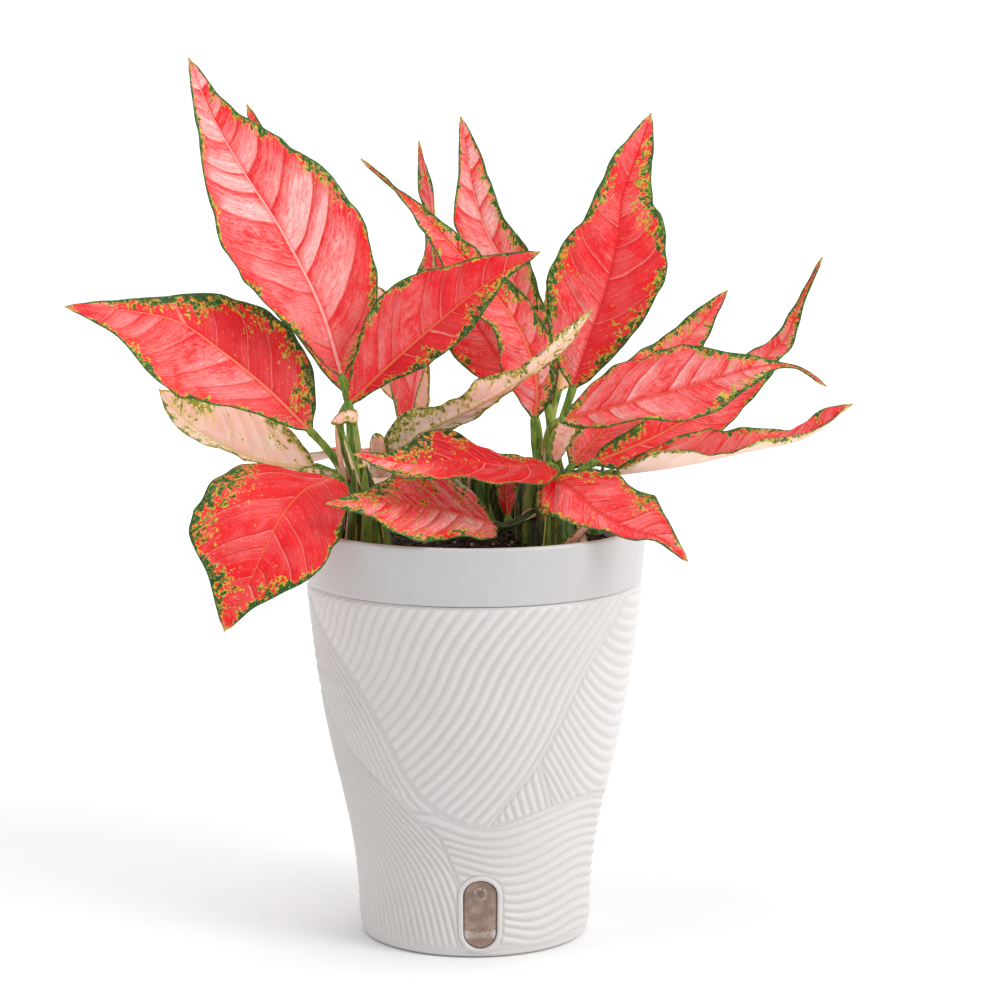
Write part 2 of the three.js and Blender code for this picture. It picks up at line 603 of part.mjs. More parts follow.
function place(name, geometry, material) {
  const finish = new THREE.MeshStandardMaterial({ metalness: 0, ...MATERIALS[material] });
  const mesh = new THREE.Mesh(geometry, finish);
  mesh.name = name;
  plant.add(mesh);
}

place("outer_pot", geometryOf(outerPot()), "white_plastic");
place("water_window", geometryOf(waterWindow()), "clear_plastic");
place("inner_pot", geometryOf(innerPot()), "white_plastic");
place("soil", geometryOf(soil()), "soil");
for (const name of Object.keys(STEMS)) place(name, geometryOf(leafyStem(name)), "stem");
for (const [name, leaf] of Object.entries(LEAVES)) place(name, blade(leaf), "leaf");

export default plant;
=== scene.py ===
import math
import bmesh
import bpy
import numpy as np
from mathutils import Euler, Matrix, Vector


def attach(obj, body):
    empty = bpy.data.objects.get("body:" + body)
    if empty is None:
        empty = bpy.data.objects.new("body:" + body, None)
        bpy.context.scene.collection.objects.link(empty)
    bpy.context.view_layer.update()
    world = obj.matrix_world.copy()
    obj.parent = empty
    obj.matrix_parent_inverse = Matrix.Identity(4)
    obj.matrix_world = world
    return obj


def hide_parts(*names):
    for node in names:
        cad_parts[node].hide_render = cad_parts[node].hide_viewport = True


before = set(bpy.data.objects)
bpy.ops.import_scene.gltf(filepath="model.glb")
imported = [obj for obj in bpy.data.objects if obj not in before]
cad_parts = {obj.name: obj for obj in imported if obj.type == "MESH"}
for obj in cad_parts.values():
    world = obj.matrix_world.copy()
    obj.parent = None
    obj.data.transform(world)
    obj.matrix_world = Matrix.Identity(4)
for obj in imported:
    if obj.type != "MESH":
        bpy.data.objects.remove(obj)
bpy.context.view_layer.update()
MM = 0.001
DEGREE = math.pi / 180
FULL_TURN = 2 * np.pi

# ---- camera, light and floor --------------------------------------------------------------------
CAMERA_PLACE = (0.0129, -1.6, 0.456)
CAMERA_TILT = 8.4  # degrees down
CAMERA_FOCUS = 3.235  # frame widths
SENSOR = 36
WORLD_LEVEL, WORLD_LEAST, WORLD_MOST = 0.54, 0.12, 1.4
WORLD_SLOPES = (0.64, 0.10, 0.26)  # how much brighter the studio gets to the right, to the back and up
# Glows of the studio: the axis they lie along, where they start and are full, and how bright they are.
WORLD_GLOWS = ((1, 0.72, 0.92, 0.60), (2, -0.02, -0.3, 0.95), (0, -0.55, -0.95, 1.1))
# Lights: place, aim, size and power.
LIGHTS = {
    "key": ((1.6, -1.1, 1.5), (0, 0, 0.25), 1.1, 20),
    "top": ((-0.5, -0.2, 1.9), (0, 0, 0.25), 1.0, 9),
    "front": ((-0.9, -1.3, 0.12), (0, 0, 0.06), 1.1, 2.0),
}
FLOOR_COLOUR, FLOOR_DUST, FLOOR_SIZE = (0.95, 0.95, 0.95), 0.97, 24
FLOOR_FADE = (0.35, 1.1)  # metres from the object over which the floor passes into the backdrop


def make_camera():
    data = bpy.data.cameras.new("camera")
    data.sensor_width = SENSOR
    data.lens = SENSOR * CAMERA_FOCUS
    data.clip_start, data.clip_end = 0.05, 60
    camera = bpy.data.objects.new("camera", data)
    camera.location = CAMERA_PLACE
    camera.rotation_euler = ((90 - CAMERA_TILT) * DEGREE, 0, 0)
    bpy.context.scene.collection.objects.link(camera)
    bpy.context.scene.camera = camera


def area_light(name, place, aim, size, power):
    data = bpy.data.lights.new(name, "AREA")
    data.shape, data.size, data.energy = "DISK", size, power
    light = bpy.data.objects.new(name, data)
    light.location = place
    light.rotation_euler = (Vector(aim) - Vector(place)).to_track_quat("-Z", "Y").to_euler()
    bpy.context.scene.collection.objects.link(light)


def make_studio():
    scene = bpy.context.scene
    scene.view_settings.view_transform = "Standard"
    world = Graph("studio", bpy.data.worlds.new("studio"))
    scene.world = world.holder
    axes = world.split(world.tree.nodes.new("ShaderNodeTexCoord").outputs["Generated"])
    x, y, z = (world.times(axis, slope) for axis, slope in zip(axes, WORLD_SLOPES))
    level = world.add(world.add(x, world.add(y, z)), WORLD_LEVEL)
    for axis, low, high, glow in WORLD_GLOWS:
        level = world.add(level, world.step(axes[axis], low, high, 0, glow))
    level = world.math("MINIMUM", world.math("MAXIMUM", level, WORLD_LEAST), WORLD_MOST)
    back = world.node("ShaderNodeBackground", Color=level, Strength=1.0)
    out = world.tree.nodes.new("ShaderNodeOutputWorld")
    world.tree.links.new(back.outputs[0], out.inputs["Surface"])
    for name, row in LIGHTS.items():
        area_light(name, *row)
    bpy.ops.mesh.primitive_plane_add(size=FLOOR_SIZE, location=(0, 0, 0))
    floor = bpy.context.object
    floor.name = "floor"
    floor.data.materials.append(floor_white())


def floor_white():
    """Pale floor that turns see-through far from the object, where the backdrop takes over."""
    g = Graph("floor_white")
    where = g.coords()
    dust = g.noise(where, 9, 3)
    lit = g.shader(g.mix(dust, FLOOR_COLOUR, shaded(FLOOR_COLOUR, FLOOR_DUST)), 0.9, specular=0.1)
    x, y, _ = g.split(where)
    merged = g.tree.nodes.new("ShaderNodeMixShader")
    g.put(merged.inputs[0], g.step(g.far(x, y), *FLOOR_FADE))
    g.tree.links.new(lit.outputs[0], merged.inputs[1])
    g.tree.links.new(g.tree.nodes.new("ShaderNodeBsdfTransparent").outputs[0], merged.inputs[2])
    g.tree.links.new(merged.outputs[0], g.tree.nodes["Material Output"].inputs["Surface"])
    return g.holder


# ---- node graphs --------------------------------------------------------------------------------
def srgb(r, g, b):
    """An 8-bit screen colour as the linear colour that shaders use."""
    shares = (r / 255, g / 255, b / 255)
    return tuple(c / 12.92 if c <= 0.04045 else ((c + 0.055) / 1.055) ** 2.4 for c in shares)


def shaded(colour, *factors):
    """A colour made darker by one factor, or by one for each channel."""
    return tuple(c * k for c, k in zip(colour, factors * (3 // len(factors))))


class Graph:
    """The nodes of a procedural material, or of the world, built socket by socket."""

    def __init__(self, name, holder=None):
        self.holder = holder or bpy.data.materials.new(name)
        self.holder.use_nodes = True
        self.tree = self.holder.node_tree
        self.tree.nodes.clear()

    def put(self, socket, value):
        if isinstance(value, bpy.types.NodeSocket):
            self.tree.links.new(value, socket)
        elif isinstance(value, (tuple, list)) and socket.type == "RGBA":
            socket.default_value = (*value[:3], 1)
        else:
            socket.default_value = value

    def node(self, kind, **inputs):
        n = self.tree.nodes.new(kind)
        for name, value in inputs.items():
            self.put(n.inputs[name.replace("_", " ")], value)
        return n

    def math(self, op, a, b=0.0):
        n = self.tree.nodes.new("ShaderNodeMath")
        n.operation = op
        self.put(n.inputs[0], a)
        self.put(n.inputs[1], b)
        return n.outputs[0]

    def add(self, a, b):
        return self.math("ADD", a, b)

    def times(self, a, b):
        return self.math("MULTIPLY", a, b)

    def less(self, a, b):
        return self.math("SUBTRACT", a, b)

    def sway(self, noise, size):
        """A noise about zero, of a given size."""
        return self.times(self.less(noise, 0.5), size)

    def far(self, a, b):
        return self.math("SQRT", self.add(self.times(a, a), self.times(b, b)))

    def step(self, value, low, high, start=0.0, end=1.0):
        """Runs smoothly from start to end while value runs from low to high."""
        n = self.tree.nodes.new("ShaderNodeMapRange")
        n.interpolation_type = "SMOOTHSTEP"
        for socket, v in zip(n.inputs[:5], (value, low, high, start, end)):
            self.put(socket, v)
        return n.outputs[0]

    def mix(self, share, a, b):
        n = self.tree.nodes.new("ShaderNodeMix")
        n.data_type = "RGBA"
        for index, value in ((0, share), (6, a), (7, b)):
            self.put(n.inputs[index], value)
        return n.outputs[2]

    def lay(self, colour, values, layers):
        """Lays colours over one another. A layer names the value it follows and its colour. Between them
        it may say how strong the value makes it, or where the value starts and is full, and then how
        strong it gets."""
        for name, *span, over in layers:
            share = values[name]
            if len(span) == 1:
                share = self.times(share, span[0])
            elif span:
                share = self.step(share, span[0], span[1], 0, *span[2:])
            colour = self.mix(share, colour, values[over] if isinstance(over, str) else over)
        return colour

    def split(self, vector):
        n = self.tree.nodes.new("ShaderNodeSeparateXYZ")
        self.tree.links.new(vector, n.inputs[0])
        return n.outputs

    def attribute(self, name):
        n = self.tree.nodes.new("ShaderNodeAttribute")
        n.attribute_name = name
        return self.split(n.outputs["Vector"])

    def coords(self):
        return self.tree.nodes.new("ShaderNodeTexCoord").outputs["Object"]

    def scaled(self, vector, scale):
        n = self.tree.nodes.new("ShaderNodeVectorMath")
        n.operation = "MULTIPLY"
        self.put(n.inputs[0], vector)
        n.inputs[1].default_value = scale
        return n.outputs[0]

    def vector(self, x, y, z):
        n = self.tree.nodes.new("ShaderNodeCombineXYZ")
        for socket, v in zip(n.inputs, (x, y, z)):
            self.put(socket, v)
        return n.outputs[0]

    def noise(self, vector, scale, detail=2.0, rough=0.5):
        n = self.node("ShaderNodeTexNoise", Vector=vector, Scale=scale, Detail=detail, Roughness=rough)
        return n.outputs[0]

    def cells(self, vector, scale):
        return self.node("ShaderNodeTexVoronoi", Vector=vector, Scale=scale).outputs["Distance"]

    def bump(self, height, distance, strength):
        return self.node("ShaderNodeBump", Height=height, Distance=distance, Strength=strength).outputs[0]

    def shader(self, colour, roughness, normal=None, specular=0.5, coat=0.0, coat_roughness=0.3,
               transmission=0.0):
        s = self.node("ShaderNodeBsdfPrincipled", Base_Color=colour, Roughness=roughness,
                      Specular_IOR_Level=specular, Coat_Weight=coat, Coat_Roughness=coat_roughness,
                      Transmission_Weight=transmission)
        out = self.tree.nodes.new("ShaderNodeOutputMaterial")
        self.tree.links.new(s.outputs[0], out.inputs["Surface"])
        if normal is not None:
            self.put(s.inputs["Normal"], normal)
        return s


# ---- shared geometry ----------------------------------------------------------------------------
def mesh_object(name, points, faces, materials, face_materials=None, attributes=()):
    """A smooth mesh from points in millimetres."""
    mesh = bpy.data.meshes.new(name)
    mesh.from_pydata((np.asarray(points, float) * MM).tolist(), [], [tuple(f) for f in faces])
    for m in materials:
        mesh.materials.append(m)
    if face_materials is not None:
        mesh.polygons.foreach_set("material_index", np.asarray(face_materials, np.int32))
    for key, values in attributes:
        layer = mesh.attributes.new(key, "FLOAT_VECTOR", "POINT")
        layer.data.foreach_set("vector", np.asarray(values, np.float32).ravel())
    shade_smooth(mesh)
    mesh.update()
    piece = bpy.data.objects.new(name, mesh)
    bpy.context.scene.collection.objects.link(piece)
    return piece


def shade_smooth(mesh):
    mesh.polygons.foreach_set("use_smooth", np.full(len(mesh.polygons), True))


def stand_for(piece, node):
    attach(piece, "root")
    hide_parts(node)
    return piece


def grid_faces(rows, columns, start=0, closed=False, flip=False):
    """Quads between neighbouring points of a grid stored row by row."""
    i = np.arange(rows - 1)[:, None] * columns + start
    j = np.arange(columns if closed else columns - 1)[None, :]
    k = (j + 1) % columns
    quads = np.stack([i + j, i + k, i + columns + k, i + columns + j], -1).reshape(-1, 4)
    return quads[:, ::-1] if flip else quads


def fan_faces(sides, flip=False):
    """Triangles from a ring of points to the point stored after them."""
    i = np.arange(sides)
    ring = [(i + 1) % sides, i] if flip else [i, (i + 1) % sides]
    return np.stack([*ring, np.full(sides, sides)], -1)


def edge_faces(a, b, shift):
    """Quads between two rows of points and the points that are stored a shift further on."""
    return np.stack([a, a + shift, b + shift, b], -1)


def packed(*values):
    """Values side by side, each spread to the shape they have together."""
    return np.stack(np.broadcast_arrays(*values), -1)


def whole_turn(steps):
    return np.arange(steps) / steps * FULL_TURN


def around(radius, turn, height):
    """Points at a radius and a height, turned about the axis from the front towards the right."""
    return packed(radius * np.sin(turn), -radius * np.cos(turn), height)


def swept(outline, steps):
    """An outline of (radius, height) pairs turned about the axis: one row of points for each pair."""
    radius, height = np.array(outline, float).T[:, :, None]
    return around(radius, whole_turn(steps), height)


class Curve:
    """A smooth curve through a few points; with one point it stays there."""

    def __init__(self, points):
        points = np.asarray(points if len(points) > 1 else [points[0]] * 2, float)
        self.points = np.vstack([2 * points[0] - points[1], points, 2 * points[-1] - points[-2]])
        dense = self.at(np.linspace(0, 1, 1601))
        steps = np.linalg.norm(np.diff(dense, axis=0), axis=1)
        self.lengths = np.concatenate([[0], np.cumsum(steps)])
        self.length = self.lengths[-1]

    def at(self, t):
        t = np.atleast_1d(np.asarray(t, float))
        spans = len(self.points) - 3
        i = np.clip(np.floor(t * spans).astype(int), 0, spans - 1)
        w = (t * spans - i)[:, None]
        p0, p1, p2, p3 = (self.points[i + k] for k in range(4))
        m1, m2 = (p2 - p0) / 2, (p3 - p1) / 2
        return ((2 * w**3 - 3 * w**2 + 1) * p1 + (w**3 - 2 * w**2 + w) * m1
                + (3 * w**2 - 2 * w**3) * p2 + (w**3 - w**2) * m2)

    def share(self, u):
        """The parameter at a share of the curve's length."""
        return np.interp(np.atleast_1d(u) * self.length, self.lengths, np.linspace(0, 1, len(self.lengths)))

    def place(self, u):
        return self.at(self.share(u))

    def tangent(self, u):
        t = self.share(u)
        return unit(self.at(np.minimum(t + 1e-4, 1)) - self.at(np.maximum(t - 1e-4, 0)))


def unit(v):
    return v / np.maximum(np.linalg.norm(v, axis=-1, keepdims=True), 1e-12)


def square_to(v, along):
    """The part of a direction that stands square to another one, at unit length."""
    return unit(v - along * (v * along).sum(-1, keepdims=True))


def smooth(value, low, high):
    t = np.clip((value - low) / (high - low), 0, 1)
    return t * t * (3 - 2 * t)


def bell(value, width):
    return np.exp(-((value / width) ** 2))


def value_noise(x, y, seed):
    """Smooth noise between -1 and 1 on a plane, with one random value at each whole number."""
    size = 64
    table = np.random.default_rng(seed).uniform(-1, 1, (size, size))
    x, y = np.broadcast_arrays(x, y)
    i, j = np.floor(x).astype(int), np.floor(y).astype(int)
    u, v = smooth(x - i, 0, 1), smooth(y - j, 0, 1)
    at = lambda a, b: table[a % size, b % size]
    low = at(i, j) * (1 - u) + at(i + 1, j) * u
    high = at(i, j + 1) * (1 - u) + at(i + 1, j + 1) * u
    return low * (1 - v) + high * v


# ---- planter ------------------------------------------------------------------------------------
POT_HEIGHT, RIM_RADIUS = 209, 86.5
SEAM_HEIGHT, SEAM_RADIUS = 181, 84
WALL, CLEARANCE, COLLAR_WALL, SHOULDER_DEPTH = 2.6, 0.3, 3.6, 6
# Outlines are pairs of radius and height. The first is the outer pot's outside, which widens from a
# straight foot. It ends at POT_TOP, just under the seam.
OUTER_PROFILE = ((54, 0), (56.8, 1.4), (58, 5), (58.4, 24), (60.2, 42), (62.8, 58), (66.8, 76), (70.6, 92),
                 (75.2, 114), (79.2, 139), (82, 162), (84, 180))
POT_TOP = 180
UNDERSIDE = ((1, 0), (30, 0), (53.2, 0), (54.6, 0.15), (56.2, 0.9), (57.1, 2.0))
TOP_EDGE = ((83.0, 180.0), (82.6, 180.0), (81.2, 179.8))
INSIDE_HEIGHTS = (176, 160, 140, 120, 100, 80, 60, 40, 20)
INSIDE_FLOOR = ((55.4, 6.5), (54.0, 3.4), (50, 3), (1, 3))
WINDOW_WIDTH, WINDOW_HEIGHT, WINDOW_CENTRE, WINDOW_TURN = 17, 35, 22.5, 3.2 * DEGREE
WINDOW_RADIUS = 58.4  # of the wall where the window is
WINDOW_LIP, WINDOW_FLANGE, WINDOW_INSET, WINDOW_STEPS = 2.4, 1.6, 0.6, 96
# The lip's section: how far outside the window's edge it is, and how far in front of the wall.
LIP_SECTION = ((0.0, -WALL - 0.2), (0.0, -0.6), (0.06, 0.2), (0.35, 0.62), (0.9, 0.78), (1.6, 0.74),
               (2.15, 0.5), (2.45, 0.1), (2.6, -0.6), (2.6, -WALL - 0.2))
INNER_FLOOR, FOOT_RADIUS, FOOT_BOTTOM = 48, 19, 5
INNER_HEIGHTS = (66, 90, 120, 150, 170)
FOOT_SLOTS = (6, 3, 26, 10)  # number, width, height, bottom
POT_STEPS, SOIL_STEPS = 240, 220
# The collar's outside: near the seam from the seam's radius and the shoulder, at the top from the rim's.
COLLAR_LOW = ((-1.2, 0), (-0.35, 0.08), (0.02, 0.5), (0.15, 1.4))
COLLAR_SIDE = ((84.7, 188), (85.4, 196))
COLLAR_RIM = ((-0.45, 203.8), (-0.1, 206.2), (0, 207.6), (-0.25, 208.4), (-0.8, 208.85), (-1.7, 209),
              (-2.7, 208.9), (-3.3, 208.5), (-3.65, 207.6))


def through(points):
    """Linear interpolation through (place, value) pairs."""
    places, values = np.array(sorted(points), float).T
    return lambda v: np.interp(v, places, values)


outer_profile = through((height, radius) for radius, height in OUTER_PROFILE)
inner_gap = through(((60, 9.6), (160, 4.8)))  # from the outer pot's outside to the inner pot


def outer_radius(z):
    """The outside of the outer pot: its profile, rounded off where the profile bends."""
    z = np.asarray(z, float)
    soft = np.minimum(4.0, np.maximum(0, np.minimum(z - 5, POT_TOP - z)))
    return sum(outer_profile(z + k * soft) for k in (-1, -0.5, 0, 0.5, 1)) / 5


def inner_radius(z):
    return outer_profile(z) - inner_gap(z)


def collar_inside(z):
    share = (z - SEAM_HEIGHT) / (POT_HEIGHT - SEAM_HEIGHT)
    return SEAM_RADIUS + (RIM_RADIUS - SEAM_RADIUS) * share - COLLAR_WALL


def window_outline(out, shrink=1.0):
    """The window's oblong outline, drawn out by a distance, as millimetres across the wall and up."""
    t = whole_turn(WINDOW_STEPS)
    half, straight = WINDOW_WIDTH / 2 + out, (WINDOW_HEIGHT - WINDOW_WIDTH) / 2
    up = (np.sin(t) * half + np.sign(np.sin(t)) * straight) * shrink + WINDOW_CENTRE
    return np.cos(t) * half * shrink, up


def on_wall(across, up, out):
    """Points on the wall in front, at a distance outside it."""
    return around(outer_radius(up) + out, WINDOW_TURN + across / WINDOW_RADIUS, up)


def outside_window(turn, z):
    """How far a place on the wall lies outside the window's outline."""
    across = (np.degrees((turn - WINDOW_TURN + np.pi) % FULL_TURN) - 180) * DEGREE * WINDOW_RADIUS
    rise = np.abs(z - WINDOW_CENTRE) - (WINDOW_HEIGHT - WINDOW_WIDTH) / 2
    return np.hypot(across, np.maximum(rise, 0)) - WINDOW_WIDTH / 2


# ---- the relief ---------------------------------------------------------------------------------
# Combed ridges fill fields of the wall, each with a run of its own. All is in millimetres: s is the way
# round from the front, to the right, and z the way up.
SWEEP = 75 * DEGREE  # millimetres of relief for each degree round the pot
RELIEF_PERIOD = 180 * SWEEP  # the relief repeats twice round the pot
RELIEF_DEPTH, RELIEF_MIDDLE = 1.15, 0.45  # from groove to ridge, and the share of it below the wall's face
RELIEF_SPAN, RELIEF_TURNS, RELIEF_RISE = (3.2, 178.9), 792, 300
TOP_HEIGHTS = (179.3, 179.7)  # the wall above the relief
# The borders of the fields: the sides of the big leaf-shaped field, as s at a height, from LEAF_FOOT up ...
LEAF_FOOT = 67.5
LEAF_LEFT = through((
    (67.5, 7.3), (69.3, -4.9), (75.2, -16.8), (82.4, -27.5), (92, -34.9), (101.6, -40), (113.4, -45),
    (124.7, -51.2), (137.8, -60), (147.2, -68.7), (157.3, -80), (168, -92), (176, -98), (181, -100)))
LEAF_RIGHT = through((
    (67.5, 8.5), (80.8, 18.8), (91.5, 28.7), (104.2, 37.1), (119, 44.1), (131.4, 50.3), (147.7, 59.1),
    (157.3, 66.9), (165.9, 74.1), (173.5, 80.5), (181, 86)))
# ... the top of the field under it and of the one low on the left, as z at s ...
UNDER_LEAF = through((
    (-16.8, 74.5), (-4.9, 69.3), (7.3, 67.3), (24.5, 71.3), (42.8, 75.2), (63, 77.9), (80, 77.6),
    (95.4, 75.1), (118, 68), (135, 64)))
LOW_LEFT_TOP = through((
    (-118, 136), (-104.9, 127), (-88, 113), (-73.2, 101), (-58.1, 90.1), (-47.2, 83.7), (-39.9, 76.7),
    (-33, 71), (-20, 61)))
# ... and the right side of that one and the side where the pattern starts again, as s at a height.
LOW_LEFT_SIDE = through((
    (97, -30), (77, -36), (69.5, -27.4), (61.5, -19.6), (53.2, -15.8), (44, -11.8), (34.9, -7.5),
    (20, -6.5), (0, -5)))
PERIOD_SIDE = through((
    (181, -101), (172, -101), (150, -106), (110, -112), (94, -114), (60, -112), (40, -109), (0, -104)))
UNDER_START, WEDGE_SPAN, WEDGE_LEAN, WEDGE_FOOT = -38, (0, 36.1), 0.44, 97.6
# How far apart the ridges are in each field.
LEAF_PITCH, LEFT_PITCH, LOW_LEFT_PITCH, UNDER_PITCH, WEDGE_PITCH, RIGHT_PITCH = 5.25, 3.7, 4.75, 4.9, 5.1, 6.1
LEAF_ARCS = (-97, 178)  # the place that the ridges of the leaf-shaped field run round
WEDGE_SLANT, RIDGE_SHARPNESS = 0.42, 0.7


def summed(slopes, low, high):
    """The running sum of a slope that is given at a few places."""
    at = np.linspace(low, high, 400)
    slope = through(slopes)(at)
    total = np.concatenate([[0], np.cumsum((slope[1:] + slope[:-1]) / 2 * np.diff(at))])
    return lambda v: np.interp(v, at, total)


RIGHT_ARC = summed(((20, -1.4), (50, -1.25), (60, -0.95), (70, -0.6), (80, -0.38), (90, -0.2), (103, 0),
                    (115, 0.3), (125, 0.6), (140, 1.0)), 0, 160)
LOW_LEFT_LEAN = summed(((0, -0.3), (15, -0.28), (30, -0.35), (40, -0.5), (50, -0.8), (60, -1.05), (80, -1.2),
                        (100, -1.25), (140, -1.3)), -5, 150)
# The long waves of the field under the leaf, at a few heights: where their trough is, how high they rise,
# and how far they run to the left and to the right.
WAVE_TROUGH = through(((13, 42), (26, 30), (51, 18), (62, 9)))
WAVE_HEIGHT = through(((5, 3.5), (13, 4.1), (26, 5.3), (51, 9.0), (75, 9.6)))
WAVE_LEFT, WAVE_RIGHT = through(((10, 26), (62, 46))), through(((13, 36), (26, 48), (62, 60)))


def leaf_arcs(s, z):
    """Arcs about the upper left corner of the leaf-shaped field, which flare out near its top."""
    dx, dz = s - LEAF_ARCS[0], LEAF_ARCS[1] - z
    reach = np.hypot(dx, dz)
    angle = np.degrees(np.arctan2(dz, dx))
    flare = (0.10 + 0.10 * np.clip((reach - 70) / 100, 0, 1)) * np.clip(1 - angle / 20, 0, 1.3) ** 2
    return reach / (1 + flare)


def left_lines(s, z):
    """Lines along the left side of the leaf-shaped field."""
    slope = (LEAF_LEFT(z + 3) - LEAF_LEFT(np.maximum(z - 3, LEAF_FOOT))) / 6
    return (LEAF_LEFT(z) - s) / np.sqrt(1 + slope**2)


def under_waves(s, z):
    """Long waves that flatten out on the way down."""
    trough = WAVE_TROUGH(z)
    run = np.where(s < trough, WAVE_LEFT(z), WAVE_RIGHT(z))
    return z - WAVE_HEIGHT(z) * (0.5 - 0.5 * np.cos(np.pi * np.clip((s - trough) / run, -1.6, 2.4)))


def relief(s, z):
    """The height of the relief, from 0 to 1, and the number of the field that a place is in."""
    s = np.where(s < PERIOD_SIDE(z), s + RELIEF_PERIOD, s)
    s = np.where(s >= PERIOD_SIDE(z) + RELIEF_PERIOD, s - RELIEF_PERIOD, s)
    leaf_field = (z > LEAF_FOOT) & (s > LEAF_LEFT(z)) & (s < LEAF_RIGHT(z))
    left = s <= LEAF_LEFT(np.maximum(z, LEAF_FOOT))
    low_left = ((z < LOW_LEFT_TOP(s)) | (z < LEAF_FOOT)) & (s < LOW_LEFT_SIDE(z))
    under = (z < UNDER_LEAF(s)) & (s > UNDER_START)
    wedge = (s > WEDGE_SPAN[0]) & (s < WEDGE_SPAN[1] + (WEDGE_FOOT - z) * WEDGE_LEAN)
    field = np.select([leaf_field, low_left, under, wedge, left], [0, 2, 3, 4, 1], 5)
    phase = np.choose(field, [
        leaf_arcs(s, z) / LEAF_PITCH, left_lines(s, z) / LEFT_PITCH, (s - LOW_LEFT_LEAN(z)) / LOW_LEFT_PITCH,
        under_waves(s, z) / UNDER_PITCH, (s + WEDGE_SLANT * z) / WEDGE_PITCH,
        (z - RIGHT_ARC(s)) / RIGHT_PITCH])
    return (0.5 + 0.5 * np.cos(2 * np.pi * phase)) ** RIDGE_SHARPNESS, field


def field_borders(field):
    """1 where two fields meet, falling off softly beside it."""
    shifts = ((1, 0), (-1, 0), (1, 1), (-1, 1))
    edge = np.zeros(field.shape)
    for shift, axis in shifts:
        edge = np.maximum(edge, field != np.roll(field, shift, axis))
    for _ in range(2):
        edge = (edge + sum(np.roll(edge, shift, axis) for shift, axis in shifts)) / 3.2
    return np.clip(edge, 0, 1)


# ---- the outer pot, the collar and the window ---------------------------------------------------
POT_COLOUR, COLLAR_COLOUR = srgb(211, 208, 207), srgb(190, 188, 188)
# The last factor darkens the pot's colour into the painted shade of the relief's grooves.
CLOUD_SHADE, STREAK_SHADE, GROOVE_PAINTED_SHADE = (0.965, 0.955, 0.945), 0.97, 0.55
GROOVE_PAINTED_SHADE_STRENGTH = 0.22  # how strongly painted shade darkens the relief's grooves


def outer_pot():
    """The outer pot with its relief, its floor, its inside and the raised lip round the window."""
    turns = whole_turn(RELIEF_TURNS)
    heights = np.concatenate([np.linspace(*RELIEF_SPAN, RELIEF_RISE), TOP_HEIGHTS])
    z, a = np.meshgrid(heights, turns, indexing="ij")
    ridge, field = relief((np.degrees(a) * SWEEP + RELIEF_PERIOD / 2) % RELIEF_PERIOD - RELIEF_PERIOD / 2, z)
    away = outside_window(a, z)
    fade = smooth(z, 180.5, 176.5) * smooth(away, WINDOW_LIP - 0.4, WINDOW_LIP + 1.6)
    ridge = ridge * (1 - field_borders(field)) * smooth(z, 3, 8) * fade
    radius = outer_radius(z) + (ridge - RELIEF_MIDDLE) * RELIEF_DEPTH - 0.5 * smooth(z, 178.6, 179.7)
    # Painted shade of the relief's grooves: 1 deep in a groove, 0 on a ridge; it goes into the groove
    # attribute.
    groove = smooth(ridge, 0.55, 0.0) * smooth(z, 3, 12) * fade
    points = [around(radius, a, z).reshape(-1, 3)]
    side = grid_faces(len(heights), RELIEF_TURNS, closed=True)
    hidden = (away < WINDOW_LIP / 2).ravel()
    faces = [side[~hidden[side].any(axis=1)]]
    count = len(points[0])
    low = (outer_radius(RELIEF_SPAN[0]) - RELIEF_MIDDLE * RELIEF_DEPTH, RELIEF_SPAN[0])
    inside = [(outer_radius(h) - WALL, h) for h in INSIDE_HEIGHTS]
    top = (radius[-1].mean(), TOP_HEIGHTS[-1])
    for outline in ([*UNDERSIDE, low], [top, *TOP_EDGE, *inside, *INSIDE_FLOOR]):
        r, h = np.array(outline, float).T
        points.append(swept(outline, RELIEF_TURNS).reshape(-1, 3))
        quads = grid_faces(len(outline), RELIEF_TURNS, start=count, closed=True)
        off = outside_window(turns + np.pi / RELIEF_TURNS, ((h[:-1] + h[1:]) / 2)[:, None])
        faces.append(quads[~((off < WINDOW_LIP / 2) & (r[:-1, None] > 55.2)).ravel()])
        count += len(points[-1])
    points += [on_wall(*window_outline(out), rise) for out, rise in LIP_SECTION]
    faces.append(grid_faces(len(LIP_SECTION), WINDOW_STEPS, start=count, closed=True, flip=True))
    points = np.concatenate(points)
    painted_shade = np.zeros(points.shape)
    painted_shade[: groove.size, 0] = groove.ravel()
    piece = mesh_object("outer_pot_shell", points, np.concatenate(faces).tolist(),
                        [plastic("pot_white", POT_COLOUR)], None, [("groove", painted_shade)])
    return stand_for(piece, "outer_pot")


def plastic(name, colour, brushed=False):
    g = Graph(name)
    where = g.coords()
    cloud, fine, grain = g.noise(where, 14, 3), g.noise(where, 900, 2), g.noise(where, 260, 3, 0.6)
    tint = g.mix(g.step(cloud, 0.3, 0.7), colour, shaded(colour, *CLOUD_SHADE))
    rough = g.step(grain, 0.3, 0.7, 0.36, 0.47)
    if brushed:
        streak = g.noise(g.scaled(where, (1, 1, 0.02)), 420, 3, 0.6)
        tint = g.mix(g.step(streak, 0.35, 0.65), tint, shaded(colour, STREAK_SHADE))
        rough = g.add(rough, g.step(streak, 0.3, 0.7, -0.04, 0.05))
        fine = g.mix(0.5, fine, streak)
    else:
        # painted shade in the relief's grooves, read from the groove attribute
        tint = g.mix(g.times(g.attribute("groove")[0], GROOVE_PAINTED_SHADE_STRENGTH), tint, shaded(colour, GROOVE_PAINTED_SHADE))
    g.shader(tint, rough, g.bump(fine, 0.00006, 0.5), coat=0.4 if brushed else 0.15, coat_roughness=0.28)
    return g.holder


